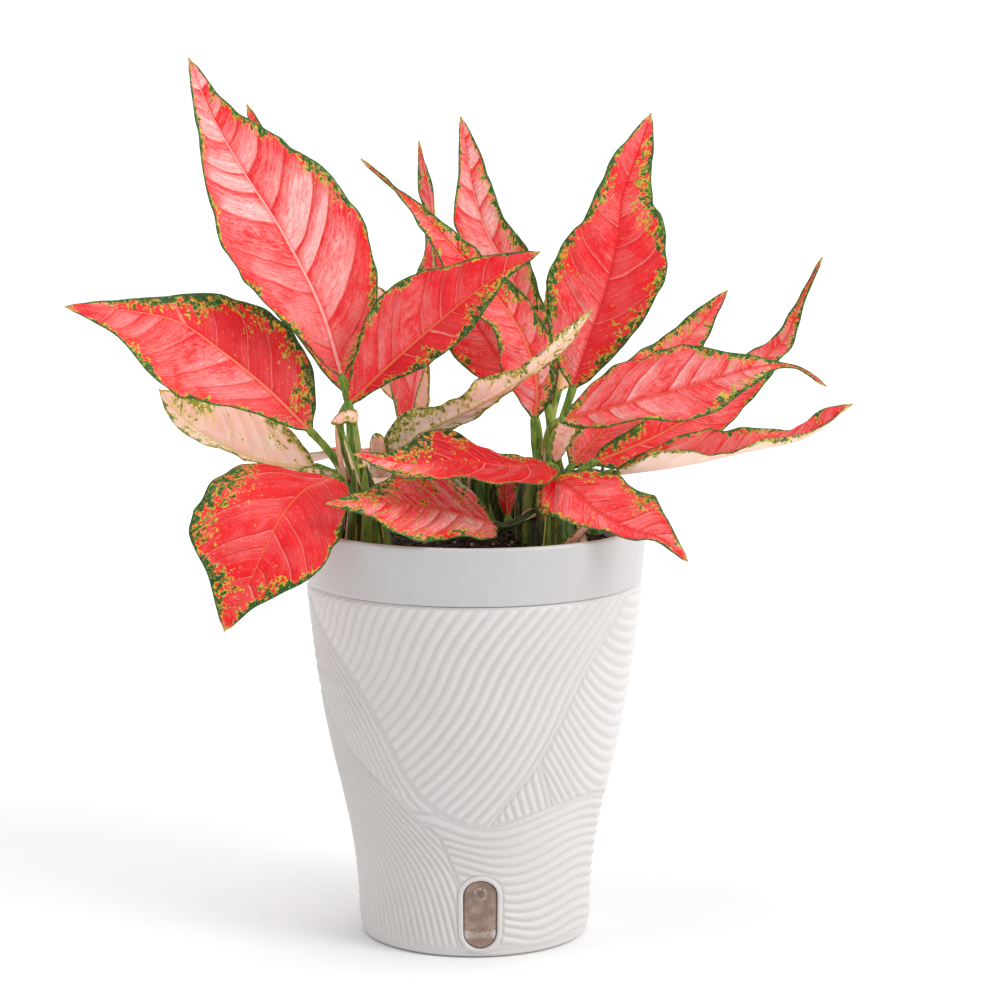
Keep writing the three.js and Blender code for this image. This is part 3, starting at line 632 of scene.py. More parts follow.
def inner_hollow(gap):
    """The hollow of the inner pot, drawn in by a gap, from the bottom of the foot to just over the seam."""
    foot, floor = FOOT_BOTTOM + WALL + gap, INNER_FLOOR + WALL + gap
    top = SEAM_HEIGHT + 4
    return ([(0, foot), (FOOT_RADIUS - WALL - gap, foot), (FOOT_RADIUS - WALL / 2 - gap, floor),
             (inner_radius(INNER_FLOOR) - WALL - gap, floor)]
            + [(inner_radius(h) - WALL - gap, h) for h in INNER_HEIGHTS] + [(collar_inside(top) - gap, top)])


def inner_pot():
    """The inner pot: a smooth collar with rounded edges, a tapering wall and a slotted foot."""
    low = SEAM_HEIGHT - 1 + CLEARANCE
    outline = [(0, FOOT_BOTTOM), (FOOT_RADIUS - 1, FOOT_BOTTOM), (FOOT_RADIUS, FOOT_BOTTOM + 1),
               (FOOT_RADIUS + WALL / 2, INNER_FLOOR)]
    outline += [(inner_radius(h), h) for h in (INNER_FLOOR, *INNER_HEIGHTS)]
    outline += [(SEAM_RADIUS + r, low + h) for r, h in ((-SHOULDER_DEPTH, 0), *COLLAR_LOW)]
    outline += [*COLLAR_SIDE, *((RIM_RADIUS + r, h) for r, h in COLLAR_RIM), (collar_inside(205), 205)]
    outline += inner_hollow(0)[::-1]
    points = swept([(max(r, 0.05), h) for r, h in outline], POT_STEPS)
    quads = grid_faces(len(outline), POT_STEPS, closed=True)
    piece = mesh_object("inner_pot_collar", points.reshape(-1, 3), quads.tolist(),
                        [plastic("collar_white", COLLAR_COLOUR, True)])
    count, width, height, bottom = FOOT_SLOTS
    cutters = []
    for i in range(count):
        bpy.ops.mesh.primitive_cube_add(size=1)
        cutter = bpy.context.object
        turn = (i + 0.5) / count * 2 * math.pi
        reach = FOOT_RADIUS * MM
        cutter.scale = (4 * WALL * MM, width * MM, height * MM)
        cutter.rotation_euler = (0, 0, turn)
        cutter.location = (reach * math.cos(turn), reach * math.sin(turn), (bottom + height / 2) * MM)
        cut = piece.modifiers.new("slot", "BOOLEAN")
        cut.object, cut.operation, cut.solver = cutter, "DIFFERENCE", "EXACT"
        cutters.append(cutter)
    bpy.context.view_layer.update()
    made = bpy.data.meshes.new_from_object(piece.evaluated_get(bpy.context.evaluated_depsgraph_get()))
    piece.modifiers.clear()
    piece.data = made
    for cutter in cutters:
        bpy.data.objects.remove(cutter)
    mark_sharp(piece, 50)
    return stand_for(piece, "inner_pot")


def mark_sharp(piece, degrees):
    shade_smooth(piece.data)
    piece.data.set_sharp_from_angle(angle=degrees * DEGREE)


BOSS_RISE = 9.5  # from the window's middle to the boss


def water_window():
    """The clear window: a curved oblong lens with a flange behind the wall, and a small round boss."""
    back = -WALL - CLEARANCE
    front = -CLEARANCE - 0.35
    # rows of points, from the middle of the back to the middle of the front: how far the outline is
    # shrunk, how deep it lies and how far outside the window's edge it is
    rows = [(k, back - 1.1, 0) for k in (0.05, 0.5, 0.9)]
    rows += [(1.0, back - 1.1, WINDOW_FLANGE), (1.0, back, WINDOW_FLANGE), (1.0, back, -CLEARANCE),
             (1.0, -WINDOW_INSET - 0.5, -CLEARANCE), (1.0, -WINDOW_INSET - 0.12, front),
             (0.92, -WINDOW_INSET, front)]
    rows += [(k, -WINDOW_INSET + 0.05 * (1 - k), front) for k in (0.8, 0.65, 0.5, 0.35, 0.2, 0.05)]
    points = []
    for shrink, depth, out in rows:
        across, up = window_outline(out, shrink)
        bulge = 0.0
        if depth > -WINDOW_INSET - 0.05:
            off = np.hypot(across, up - WINDOW_CENTRE - BOSS_RISE)
            bulge = 0.35 * bell(off - 2.4, 0.7) + 0.25 * bell(off, 1.1)
        points.append(on_wall(across, up, depth + bulge))
    count = len(rows) * WINDOW_STEPS
    faces = grid_faces(len(rows), WINDOW_STEPS, closed=True).tolist()
    faces += [list(range(WINDOW_STEPS))[::-1], list(range(count - WINDOW_STEPS, count))]
    piece = mesh_object("water_window_lens", np.concatenate(points), faces, [window_plastic()])
    mark_sharp(piece, 40)
    return stand_for(piece, "water_window")


BOSS_PLACE = (0.0033, 0.0330)  # across and up, in metres
LUG_HEIGHT = 0.0122
# Layers of the window's colour, as Graph.lay reads them. The values are named in window_plastic.
# ring is a painted highlight round the boss; glint is painted highlight where the two lugs sit.
WINDOW_LAYERS = (
    ("cloud", 0.35, 0.65, srgb(140, 110, 90)), ("sparkle", 0.16, 0.05, srgb(222, 208, 196)),
    ("water_line", srgb(205, 190, 178)), ("up", 0.020, 0.036, 0.35, srgb(120, 92, 82)),
    ("boss", srgb(96, 72, 62)),
    ("ring", srgb(214, 196, 186)), ("glint", 0.8, srgb(222, 214, 208)),
)


def window_plastic():
    """Clear plastic in front of a brown inside: a pale line, a round boss, a painted highlight ring and
    painted lug glints.
    """
    g = Graph("window_clear")
    where = g.coords()
    p = dict(sparkle=g.cells(where, 1500), cloud=g.noise(where, 160, 3, 0.6))
    fine = g.noise(where, 1100, 2)
    across, _, up = g.split(where)
    p["up"] = up
    line = g.times(g.step(up, 0.0095, 0.0115), g.step(up, 0.0145, 0.0125))
    p["water_line"] = g.times(line, g.step(fine, 0.35, 0.6, 0.2, 0.8))
    dx = g.less(across, BOSS_PLACE[0])
    far = g.add(g.far(dx, g.less(up, BOSS_PLACE[1])), g.sway(p["cloud"], 0.0016))
    p["boss"] = g.times(g.step(far, 0.0036, 0.0028), g.step(far, 0.0006, 0.0020, 0.75, 0.2))
    # a painted highlight ring round the boss
    ring = g.times(g.step(far, 0.0022, 0.0027), g.step(far, 0.0038, 0.0030))
    p["ring"] = g.times(ring, g.step(fine, 0.45, 0.65, 0.1, 0.9))
    # painted glints at the lugs' height, near the window's sides
    level = g.step(g.math("ABSOLUTE", g.less(up, LUG_HEIGHT)), 0.0026, 0.0014)
    p["glint"] = g.times(g.step(g.math("ABSOLUTE", dx), 0.0050, 0.0066), level)
    colour = g.lay(srgb(178, 148, 126), p, WINDOW_LAYERS)
    g.shader(colour, g.step(fine, 0.3, 0.7, 0.14, 0.3), g.bump(fine, 0.00012, 0.6), specular=0.55, coat=0.6,
             coat_roughness=0.06, transmission=0.25)
    return g.holder


# ---- soil ---------------------------------------------------------------------------------------
SOIL_EDGE, SOIL_CROWN = 194, 5
# Lumps of the surface: height, size and a shift each way.
SOIL_LUMPS = ((1.0, 7, 0, 0), (0.7, 3.1, 9, 0), (0.35, 1.4, 0, 5))
CRUMBS = 1500
# Kinds of crumb: name, share, the sides' proportions, and the light and the dark colour.
CRUMB_KINDS = (
    ("soil_dark", 0.72, (1, 0.8, 0.7), srgb(58, 44, 34), srgb(28, 20, 15)),
    ("soil_bark", 0.22, (2.1, 0.9, 0.5), srgb(104, 72, 46), srgb(62, 40, 25)),
    ("soil_perlite", 0.06, (0.9, 0.9, 0.8), srgb(196, 190, 180), srgb(150, 142, 130)),
)


def soil_height(radius, edge):
    return SOIL_EDGE + SOIL_CROWN * (1 - (radius / edge) ** 2)


def soil():
    """Potting mix: a lumpy surface over the filled inner pot, with crumbs, bark and a few white grains."""
    edge = collar_inside(SOIL_EDGE) - CLEARANCE
    radii = np.concatenate([np.linspace(0.4, edge - 1.2, 62), [edge - 0.3, edge]])[:, None]
    turns = whole_turn(SOIL_STEPS)
    x, y = radii * np.sin(turns), -radii * np.cos(turns)
    lumps = sum(height * value_noise(x / size + dx, y / size + dy, seed + 1)
                for seed, (height, size, dx, dy) in enumerate(SOIL_LUMPS))
    top = around(radii, turns, soil_height(radii, edge) + lumps * smooth(edge - radii, 0, 3))
    below = [(max(r, 0.4), h) for r, h in inner_hollow(CLEARANCE)] + [(edge, SOIL_EDGE - 0.5)]
    points = [swept(below, SOIL_STEPS).reshape(-1, 3), top[::-1].reshape(-1, 3)]
    faces = grid_faces(len(below) + len(radii), SOIL_STEPS, closed=True).tolist()
    kinds = [np.zeros(len(faces), int)]
    rng = np.random.default_rng(11)
    base, hull = crumb_shape()
    count = sum(len(block) for block in points)
    names, shares, sizes, lights, darks = zip(*CRUMB_KINDS)
    for _ in range(CRUMBS):
        turn, radius = rng.uniform(0, FULL_TURN), (edge - 3) * math.sqrt(rng.uniform(0, 1))
        place = around(radius, turn, soil_height(radius, edge) + rng.uniform(-0.4, 1.1))
        kind = rng.choice(len(shares), p=shares)
        size = rng.uniform(0.7, 1.6) * np.array(sizes[kind])
        spin, tip = rng.uniform(0, FULL_TURN), rng.uniform(-0.5, 0.5)
        turned = np.array(Euler((0, tip, spin)).to_matrix())
        points.append(base * size * rng.uniform(0.8, 1.2, (len(base), 1)) @ turned.T + place)
        faces += [[v + count for v in face] for face in hull]
        kinds.append(np.full(len(hull), kind))
        count += len(base)
    piece = mesh_object("soil_mix", np.concatenate(points), faces,
                        [soil_material(*row) for row in zip(names, lights, darks)], np.concatenate(kinds))
    return stand_for(piece, "soil")


def crumb_shape():
    """The corners and faces of a small rough lump."""
    bm = bmesh.new()
    bmesh.ops.create_icosphere(bm, subdivisions=1, radius=1)
    points = np.array([v.co[:] for v in bm.verts])
    faces = [[v.index for v in f.verts] for f in bm.faces]
    bm.free()
    return points, faces


def soil_material(name, light, dark):
    g = Graph(name)
    where = g.coords()
    lumps, fine = g.noise(where, 260, 4, 0.65), g.noise(where, 1300, 3, 0.6)
    colour = g.mix(g.step(lumps, 0.35, 0.65), dark, light)
    colour = g.mix(g.step(fine, 0.5, 0.75, 0, 0.5), colour, light)
    rough = g.step(fine, 0.3, 0.7, 0.8, 0.98)
    g.shader(colour, rough, g.bump(g.add(lumps, fine), 0.0006, 0.8), specular=0.25)
    return g.holder


# ---- table of the leaves ------------------------------------------------------------------------
# Stems: the course of each, its radius at the foot and at the top, and the number of old leaf bases round it.
STEMS = {
    "stem_left": {"axis": ((-52, -7, 186), (-54, -8, 207), (-57, -10, 238)), "radius": (16, 4), "strips": 8},
    "stem_right": {"axis": ((41, -3, 186), (38, -4, 207), (34, -4, 243)), "radius": (21, 4.5), "strips": 13},
    "stem_back": {"axis": ((4, 34, 186), (3, 34, 207), (0, 32, 238)), "radius": (15, 4), "strips": 7},
}
USUAL = dict(cup=0.05, deep=((0,), (0,)), speck=0.4, rib_tone=0.5, panel=0.4)


def leaf(stem, share, **traits):
    """A leaf: the stem it grows from, how far up that stem, and its traits, which are the USUAL ones
    where a row doesn't name them."""
    return {**USUAL, "stem": stem, "share": share, **traits}


# How each leaf lies, in millimetres:
# - rib: points along its midrib; left and right: its half widths, from base to tip
# - face: the way its upper side looks, from base to tip; fold: the angle by which each half is raised
# - cup: how much its margins rise; wave: the height, number and start of its waves
# How it is coloured, given for its left and right half from base to tip:
# - pink: how pale its panels are, partly painted sheen; deep: how dark and full the red is, partly painted
#   shade
# - band: the width of its mottled green margin
# And as a whole:
# - speck: how many green flecks stray inside; panel: how far the veins part the shades
# - rib_tone: the midrib's colour, 0 pale, 0.5 olive and 1 red
LEAVES = {
    "leaf_tall_left": leaf("stem_left", 0.6, fold=10, wave=(1.2, 2.2, 0.1),
        rib=((-65, -14, 283), (-75, -24, 319), (-93, -30, 356), (-111, -32, 385), (-126, -31, 412),
        (-137, -28, 439)),
        face=((0.25, -0.95, 0.2),), left=(3, 16, 28, 31, 21, 9, 1), right=(4, 26, 36, 34, 24, 10, 1),
        pink=((0.25, 0.4, 0.75, 0.9, 0.8, 0.7), (0.2, 0.5, 0.75, 0.7, 0.55, 0.4)),
        band=((1.5, 2.0, 1.8, 1.6, 1.8, 2), (5, 3.6, 2.6, 4.2, 4, 2.5)), speck=0.25, rib_tone=0.0,
        panel=1),
    "leaf_tall_left_back": leaf("stem_left", 0.5, fold=12, wave=(1.5, 2, 0.3),
        rib=((-64, 6, 273), (-76, 18, 313), (-95, 34, 367), (-115, 46, 415)),
        face=((0.1, -0.97, 0.2),), left=(3, 14, 22, 20, 14, 6, 1), right=(3, 14, 20, 18, 12, 5, 1),
        pink=((0.3,), (0.3,)), band=((2,), (2,)), deep=((0.2,), (0.2,))),
    "leaf_far_left": leaf("stem_left", 0.55, fold=8, wave=(1.5, 2, 0.6),
        rib=((-81, -12, 256), (-102, -22, 279), (-126, -30, 300), (-144, -38, 313), (-170, -44, 319),
        (-196, -50, 321)),
        face=((-0.2, -0.75, 0.6),), left=(2, 13, 24, 36, 42, 17, 1), right=(6, 24, 30, 25, 11, 5, 1),
        pink=((0.15, 0.5, 0.85, 0.6, 0.35, 0.3), (0.5, 0.45, 0.25, 0.2, 0.25, 0.3)),
        band=((3, 1.6, 1.6, 3, 7, 4), (6, 11, 12, 5.5, 3, 2)), deep=((0, 0, 0, 0, 0, 0.1),
        (0.3, 0.7, 0.7, 0.3, 0, 0)), speck=0.5, rib_tone=0.35, panel=0.6),
    "leaf_under_left": leaf("stem_left", 0.42, fold=12, wave=(1.5, 2, 0),
        rib=((-79, -4, 237), (-107, -2, 241), (-130, 0, 251), (-145, 2, 261), (-157, 4, 275)),
        face=((-0.1, 0.85, 0.5),), left=(3, 20, 28, 28, 22, 12, 1), right=(2, 3, 3, 5, 9, 7, 1),
        pink=((0.4,), (0.4,)), band=((7, 6, 5, 6, 7, 7), (2, 2, 3, 6, 8, 8)), speck=0.95),
    "leaf_drooping_left": leaf("stem_left", 0.4, fold=5, cup=-0.06, wave=(1.5, 2, 0.4),
        rib=((-69, -20, 234), (-82, -42, 231), (-92, -60, 221), (-99, -70, 208), (-108, -77, 189),
        (-119, -80, 168)),
        face=((-0.2, -0.5, 0.8), (-0.1, -0.9, 0.35), (0, -1, 0.1)), left=(8, 23, 29, 31, 25, 9, 1),
        right=(8, 35, 38, 39, 37, 18, 1),
        pink=((0.15, 0.2, 0.2, 0.2, 0.25, 0.2), (0.2, 0.35, 0.3, 0.3, 0.35, 0.2)),
        band=((2.5, 2.5, 2.5, 4, 4, 3), (3, 6, 8, 8, 6, 3)), deep=((0.6, 0.6, 0.5, 0.5, 0.5, 0.4),
        (0.7, 0.4, 0.3, 0.4, 0.5, 0.4)), speck=0.45, rib_tone=0.72),
    "leaf_front_red": leaf("stem_left", 0.7, fold=10, wave=(1.2, 2, 0.2),
        rib=((-61, -22, 271), (-41, -34, 291), (-17, -46, 313), (6, -54, 332), (32, -58, 348)),
        face=((0.1, -0.85, 0.45),), left=(4, 16, 26, 27, 19, 10, 1), right=(2, 6, 12, 16, 13, 4, 1),
        pink=((0.4, 0.45, 0.4, 0.3, 0.1, 0), (0.1, 0.05, 0, 0, 0, 0)), band=((1, 2.6, 3, 2, 1, 0.8),
        (1.4, 2.5, 5, 5, 3, 1)), deep=((0, 0, 0, 0.2, 0.4, 0.4), (0.7, 0.8, 0.75, 0.6, 0.5, 0.4)),
        speck=0.2, rib_tone=0.6, panel=0.5),
    "leaf_edge_on": leaf("stem_back", 0.5, fold=14, wave=(1.5, 2, 0),
        rib=((-34, 22, 247), (-31, 26, 270), (-25, 30, 307), (-21, 34, 342), (-22, 36, 367),
        (-28, 36, 397)),
        face=((-0.9, -0.4, 0.2),), left=(3, 20, 22, 14, 8, 8, 1), right=(3, 22, 22, 14, 6, 9, 1),
        pink=((0.55,), (0.55,)), band=((3,), (3,)), speck=0.6, rib_tone=0.9),
    "leaf_long_tip": leaf("stem_right", 0.6, fold=12, wave=(1, 2, 0.5),
        rib=((30, -14, 262), (31, -18, 280), (24, -18, 304), (8, -14, 327), (-13, -10, 350),
        (-34, -8, 371), (-55, -12, 390)),
        face=((0.0, -0.9, 0.4),), left=(4, 16, 13, 14, 8, 2, 1), right=(3, 11, 11, 8, 6, 1.5, 1),
        pink=((1.1, 0.95, 0.6, 0.5, 0.6, 0.6), (1.1, 0.9, 0.6, 0.5, 0.4, 0.5)),
        band=((2.5, 2, 1.6, 1.6, 1.4, 1), (3, 4, 4, 5.5, 3, 1)), speck=0.35),
    "leaf_upright_mid": leaf("stem_right", 0.55, fold=12, wave=(1.2, 2, 0.1),
        rib=((37, 12, 265), (32, 20, 298), (19, 28, 328), (2, 38, 362), (-7, 46, 409)),
        face=((0.1, -0.95, 0.2),), left=(3, 14, 18, 18, 14, 6, 1), right=(3, 9, 10, 13, 11, 8.5, 1),
        pink=((0.6, 0.7, 0.75, 0.8, 0.75, 0.6), (1.0, 1.1, 1.15, 1.1, 1.0, 0.8)),
        band=((2, 2, 1.8, 1.8, 1.8, 1.5), (6, 5, 3.5, 3.5, 3, 2)), speck=0.3, rib_tone=0.2, panel=0.8),
    "leaf_shaded_mid": leaf("stem_right", 0.5, fold=16, wave=(1.5, 2, 0.7),
        rib=((24, 4, 274), (10, 7, 294), (-6, 10, 319), (-20, 13, 346)),
        face=((-0.4, -0.85, 0.3),), left=(3, 12, 18, 17, 12, 6, 1), right=(3, 12, 18, 17, 12, 6, 1),
        pink=((0.7,), (0.8,)), band=((2,), (2.5,)), deep=((0.3,), (0.1,)), rib_tone=1.0),
    "leaf_upright_right": leaf("stem_right", 0.7, fold=8, wave=(1.5, 2, 0.4),
        rib=((49, -2, 276), (57, -4, 301), (65, -6, 325), (71, -8, 353), (73, -8, 372), (81, -6, 394),
        (87, -2, 412)),
        face=((0.05, -0.97, 0.2),), left=(4, 20, 29, 26, 14, 10, 1), right=(4, 15, 23, 26, 18, 9, 1),
        pink=((0.95, 0.8, 0.4, 0.25, 0.3, 0.4), (0.0, 0.05, 0.1, 0.2, 0.3, 0.3)),
        band=((2.5, 3, 5, 5.5, 3.5, 2), (3.5, 3, 4, 6.5, 5, 2.5)), deep=((0, 0, 0, 0, 0, 0),
        (0.5, 0.45, 0.2, 0, 0, 0)), rib_tone=0.95),
    "leaf_long_right": leaf("stem_right", 0.55, fold=8, cup=0.0, wave=(1.5, 2, 0.6),
        rib=((44, -24, 263), (72, -44, 273), (106, -58, 284), (134, -66, 293), (153, -68, 294),
        (168, -72, 285)),
        face=((0.0, -0.75, 0.65),), left=(5, 21, 23, 24, 11, 2, 1), right=(4, 12, 15, 21, 16, 3, 1),
        pink=((0.8, 0.8, 0.75, 0.7, 0.6, 0.6), (0.85, 0.8, 0.65, 0.6, 0.55, 0.6)),
        band=((2.5, 2.4, 2.2, 2.5, 2.4, 1.5), (2.5, 2.2, 1.6, 4.5, 5, 1.5)), speck=0.3, rib_tone=0.75,
        panel=0.7),
    "leaf_rising_right": leaf("stem_right", 0.4, fold=12, wave=(1.2, 2, 0.2),
        rib=((49, 6, 236), (65, 14, 253), (89, 22, 279), (114, 30, 305), (128, 34, 322)),
        face=((-0.3, -0.85, 0.45),), left=(6, 15, 18, 15.5, 10.5, 7, 1), right=(6, 15, 18, 18, 15, 7, 1),
        pink=((0.5, 0.55, 0.6, 0.7, 0.7, 0.6), (0.3, 0.4, 0.5, 0.6, 0.6, 0.5)),
        band=((3, 3, 2.5, 2.5, 2.5, 2), (3, 3, 2.5, 2.5, 2.5, 2)), speck=0.5, rib_tone=0.7),
    "leaf_spear_right": leaf("stem_right", 0.38, fold=12, wave=(1.2, 2, 0.4),
        rib=((60, -9, 240), (93, -6, 254), (124, -6, 273), (145, -8, 293), (154, -9, 302), (160, -10, 318),
        (171, -12, 342)),
        face=((-0.2, -0.85, 0.5),), left=(5, 9, 11, 9, 6, 2, 1), right=(6, 14, 18, 14, 7, 3, 1),
        pink=((0.0, 0.2, 0.6, 0.7, 0.6, 0.6), (0.0, 0.2, 0.6, 0.7, 0.6, 0.5)),
        band=((3.5, 3, 2.2, 2.5, 2.2, 1.5), (3.5, 2.5, 2.5, 3.5, 3.5, 2)), deep=((0.4, 0.2, 0, 0, 0, 0),
        (0.4, 0.3, 0, 0, 0, 0)), speck=0.5, rib_tone=0.6),
    "leaf_folded_right": leaf("stem_right", 0.38, fold=42, cup=-0.05, wave=(3.6, 2.35, 0.66),
        rib=((68, -30, 238), (100, -44, 244), (131, -54, 252), (160, -62, 260), (181, -66, 276)),
        face=((0, -0.1, 1),), left=(3, 14, 24, 12, 11, 11, 1), right=(3, 12, 12, 6, 4, 3.5, 1),
        pink=((0.4, 0.6, 0.7, 0.7, 0.7, 0.6), (0.7,)), band=((4, 3, 2.5, 2, 1.6, 1.2),
        (1.6, 2, 2, 1.6, 1.6, 1.2)), rib_tone=0.4),
    "leaf_drooping_right": leaf("stem_right", 0.42, fold=6, cup=-0.05, wave=(1.5, 2, 0.5),
        rib=((37, -36, 236), (48, -50, 232), (60, -62, 223), (75, -72, 216), (89, -80, 213),
        (102, -86, 203)),
        face=((-0.2, -0.65, 0.75),), left=(3, 14, 21, 21, 21, 8, 1), right=(9, 20, 16, 9, 5, 3, 1),
        pink=((0.3, 0.3, 0.5, 0.6, 0.6, 0.4), (0.4, 0.6, 0.7, 0.6, 0.5, 0.4)),
        band=((3, 3, 2.6, 5, 2.4, 1), (5, 4, 1.6, 1.2, 1, 0.8)), deep=((0.3, 0.35, 0.1, 0, 0, 0),
        (0.1, 0, 0, 0, 0, 0)), rib_tone=0.85),
    "leaf_twisted_mid": leaf("stem_back", 0.45, fold=10, wave=(1.2, 2, 0),
        rib=((-42, 0, 243), (-22, -12, 258), (6, -30, 274), (32, -46, 293), (57, -56, 320)),
        face=((-0.3, 0.75, 0.55),), left=(3, 11, 13, 8, 3, 6, 1), right=(8, 15, 10, 12, 5, 5, 1),
        pink=((0.8,), (0.8,)), band=((24, 16, 4, 2, 2, 1.5), (26, 20, 9, 6, 3, 1.5)), speck=1.3),
    "leaf_front_low": leaf("stem_right", 0.46, fold=6, cup=0.0, wave=(1.5, 1.5, 0.2),
        rib=((37, -24, 241), (15, -48, 244), (-7, -60, 248), (-30, -66, 247), (-57, -68, 252)),
        face=((0, -0.4, 0.9),), left=(6, 21, 27, 27, 18, 12, 1), right=(6, 11, 19, 26, 22, 8, 1),
        pink=((0.3, 0.15, 0.15, 0.2, 0.9, 1.0), (0.3, 0.1, 0.1, 0.1, 0.3, 0.9)),
        band=((2, 1.8, 1.5, 1.5, 5, 6), (3, 4, 7, 9, 7, 3)), deep=((0.5, 0.9, 1, 0.8, 0, 0),
        (0.6, 1, 1.2, 1.1, 0.6, 0)), speck=0.6, rib_tone=0.85),
    "leaf_front_lowest": leaf("stem_right", 0.38, fold=6, cup=-0.06, wave=(1.5, 2, 0.3),
        rib=((11, -38, 213), (-11, -54, 222), (-35, -66, 228), (-54, -71, 229), (-70, -74, 229)),
        face=((0, -0.6, 0.8),), left=(8, 17, 21, 25, 22, 9, 1), right=(11, 29, 28, 23, 15, 6, 1),
        pink=((1.2, 1.1, 1.0, 0.8, 0.6, 0.4), (0.8, 0.8, 0.7, 0.6, 0.5, 0.4)),
        band=((2.5, 2, 2.4, 3, 4, 3.5), (4, 8, 10, 12, 11, 5)), speck=1.0),
    "leaf_back_left": leaf("stem_back", 0.5, fold=8, cup=-0.04, wave=(1.5, 2, 0.2),
        rib=((-37, 40, 234), (-60, 52, 237), (-90, 66, 229), (-118, 78, 208)),
        face=((-0.2, 0.15, 0.95), (-0.5, 0.2, 0.8)), left=(4, 17, 23, 24, 18, 9, 1),
        right=(4, 12, 16, 20, 17, 8, 1),
        pink=((0.35, 0.5, 0.4, 0.3), (0.2, 0.4, 0.5, 0.4)), band=((3, 3.5, 2.5, 2), (2.5, 4, 3, 2)),
        speck=0.45, panel=0.6),
    "leaf_back_right": leaf("stem_right", 0.5, fold=8, cup=-0.04, wave=(1.5, 2, 0.5),
        rib=((48, 24, 252), (70, 44, 264), (98, 64, 262), (124, 78, 246)),
        face=((0.1, 0.35, 0.9), (0.5, 0.3, 0.8)), left=(4, 17, 25, 26, 19, 9, 1),
        right=(4, 18, 26, 24, 17, 8, 1),
        pink=((0.3, 0.5, 0.5, 0.3), (0.4, 0.3, 0.3, 0.3)), band=((3, 2.5, 3, 2), (2.5, 4, 3.5, 2)),
        rib_tone=0.3, panel=0.7),
    "leaf_back_tall": leaf("stem_back", 0.7, fold=10, wave=(1.5, 2, 0.3),
        rib=((-26, 50, 256), (-44, 58, 286), (-66, 66, 316), (-88, 72, 342)),
        face=((0.1, 0.9, 0.4),), left=(4, 14, 20, 20, 15, 8, 1), right=(4, 13, 17, 18, 14, 7, 1),
        pink=((0.5, 0.6, 0.5, 0.4), (0.3, 0.5, 0.6, 0.4)), band=((2.5, 3, 2.5, 2), (3, 2.5, 3.5, 2)),
        speck=0.3, rib_tone=0.1, panel=0.9),
    "leaf_back_upright": leaf("stem_right", 0.65, fold=10, wave=(1.5, 2, 0.6),
        rib=((42, 22, 272), (50, 34, 304), (62, 42, 340), (74, 48, 374)),
        face=((-0.1, 0.95, 0.3),), left=(4, 13, 19, 20, 15, 8, 1), right=(4, 13, 18, 18, 14, 7, 1),
        pink=((0.2, 0.3, 0.4, 0.3), (0.4, 0.5, 0.4, 0.3)), band=((3, 4, 3, 2), (2.5, 3, 3, 2)),
        rib_tone=0.6, panel=0.5),
    "leaf_back_low": leaf("stem_back", 0.4, fold=6, cup=-0.06, wave=(1.5, 2, 0.1),
        rib=((-24, 56, 228), (-36, 84, 226), (-44, 106, 210), (-50, 120, 188)),
        face=((-0.1, 0.3, 0.95), (-0.1, 0.7, 0.7), (-0.1, 0.95, 0.3)), left=(5, 22, 30, 30, 24, 12, 1),
        right=(5, 23, 31, 30, 22, 11, 1),
        pink=((0.2, 0.3, 0.3, 0.2), (0.3, 0.4, 0.3, 0.2)), band=((3, 4, 5, 3), (3, 5, 4, 3)), speck=0.7),
    "leaf_back_right_low": leaf("stem_right", 0.38, fold=6, cup=-0.05, wave=(1.5, 2, 0.7),
        rib=((42, 38, 220), (50, 66, 217), (59, 90, 204), (66, 106, 186)),
        face=((0.1, 0.2, 0.95), (0.3, 0.6, 0.75), (0.4, 0.85, 0.4)), left=(5, 20, 26, 26, 20, 10, 1),
        right=(5, 19, 26, 27, 20, 9, 1),
        pink=((0.3, 0.4, 0.3, 0.2), (0.2, 0.3, 0.4, 0.3)), band=((3, 4, 4, 2), (3, 3.5, 4, 2)), speck=0.55,
        rib_tone=0.8),
    "leaf_young": leaf("stem_right", 0.37, fold=20, cup=0.1, wave=(0.3, 1, 0),
        rib=((17, 6, 209), (16, 9, 221), (15, 12, 238)),
        face=((0.2, -0.9, 0.2),), left=(2, 3, 5, 6, 6, 4, 1), right=(2, 3, 5, 6, 6, 4, 1),
        pink=((0.6,), (0.6,)), band=((1.5,), (1.5,)), deep=((0.35,), (0.35,))),
}


# ---- blades -------------------------------------------------------------------------------------
BLADE_ROWS, BLADE_COLUMNS = 116, 17  # along a blade, and across each half of it
# A blade's thickness in the middle, the share of it lost towards the margin, and the share kept at the edge.
BLADE_THICKNESS, BLADE_THINNING, BLADE_RIM = 0.8, 0.45, 0.25
BLADE_EDGE = 0.5  # the least that a blade reaches beyond its midrib
RIB_HALF_WIDTH, RIB_DEPTH = (1.5, 0.25), (1.7, 0.3)  # at the base and at the tip
RIB_GROOVE = 0.45  # how deep the midrib is sunken above
MARGIN_SWAY, MARGIN_SWAY_RUN = 1.1, 7  # how far a margin strays, and over what length
VEIN_SPACING = (10.0, 19.0, 8.5)  # least, most, and how many there are on each side of a long leaf
VEIN_SLANT, VEIN_BEND = 0.5, 0.6  # towards the tip
VEIN_SWAY, VEIN_WAVE = 0.42, 0.05  # how uneven their spacing and their course are
FINE_VEINS = 4  # to a vein
VEIN_GROOVE, FINE_GROOVE = 0.4, 0.10  # how deep veins and fine veins are sunken
PANEL_RISE, PUCKER = 0.4, 0.45  # how far the skin between them is raised, and how uneven it is
SMALL_WAVE, SMALL_WAVES = 0.55, 6.3  # height and number of the small waves of a margin
TIP_MARGIN = (0.88, 0.98)  # where the green margin narrows towards the tip


def between(ends, share):
    return ends[0] + (ends[1] - ends[0]) * share


def spread(values, u):
    """A few evenly spaced values, read at the shares u."""
    return np.interp(u, np.linspace(0, 1, len(values)), values)


def blade_frame(leaf, u):
    """A midrib at the shares u: its place and direction, the ways up and to the right, and its length."""
    rib = Curve(leaf["rib"])
    along = rib.tangent(u)
    up = square_to(Curve(leaf["face"]).at(u), along)
    return rib.place(u), along, up, np.cross(along, up), rib.length


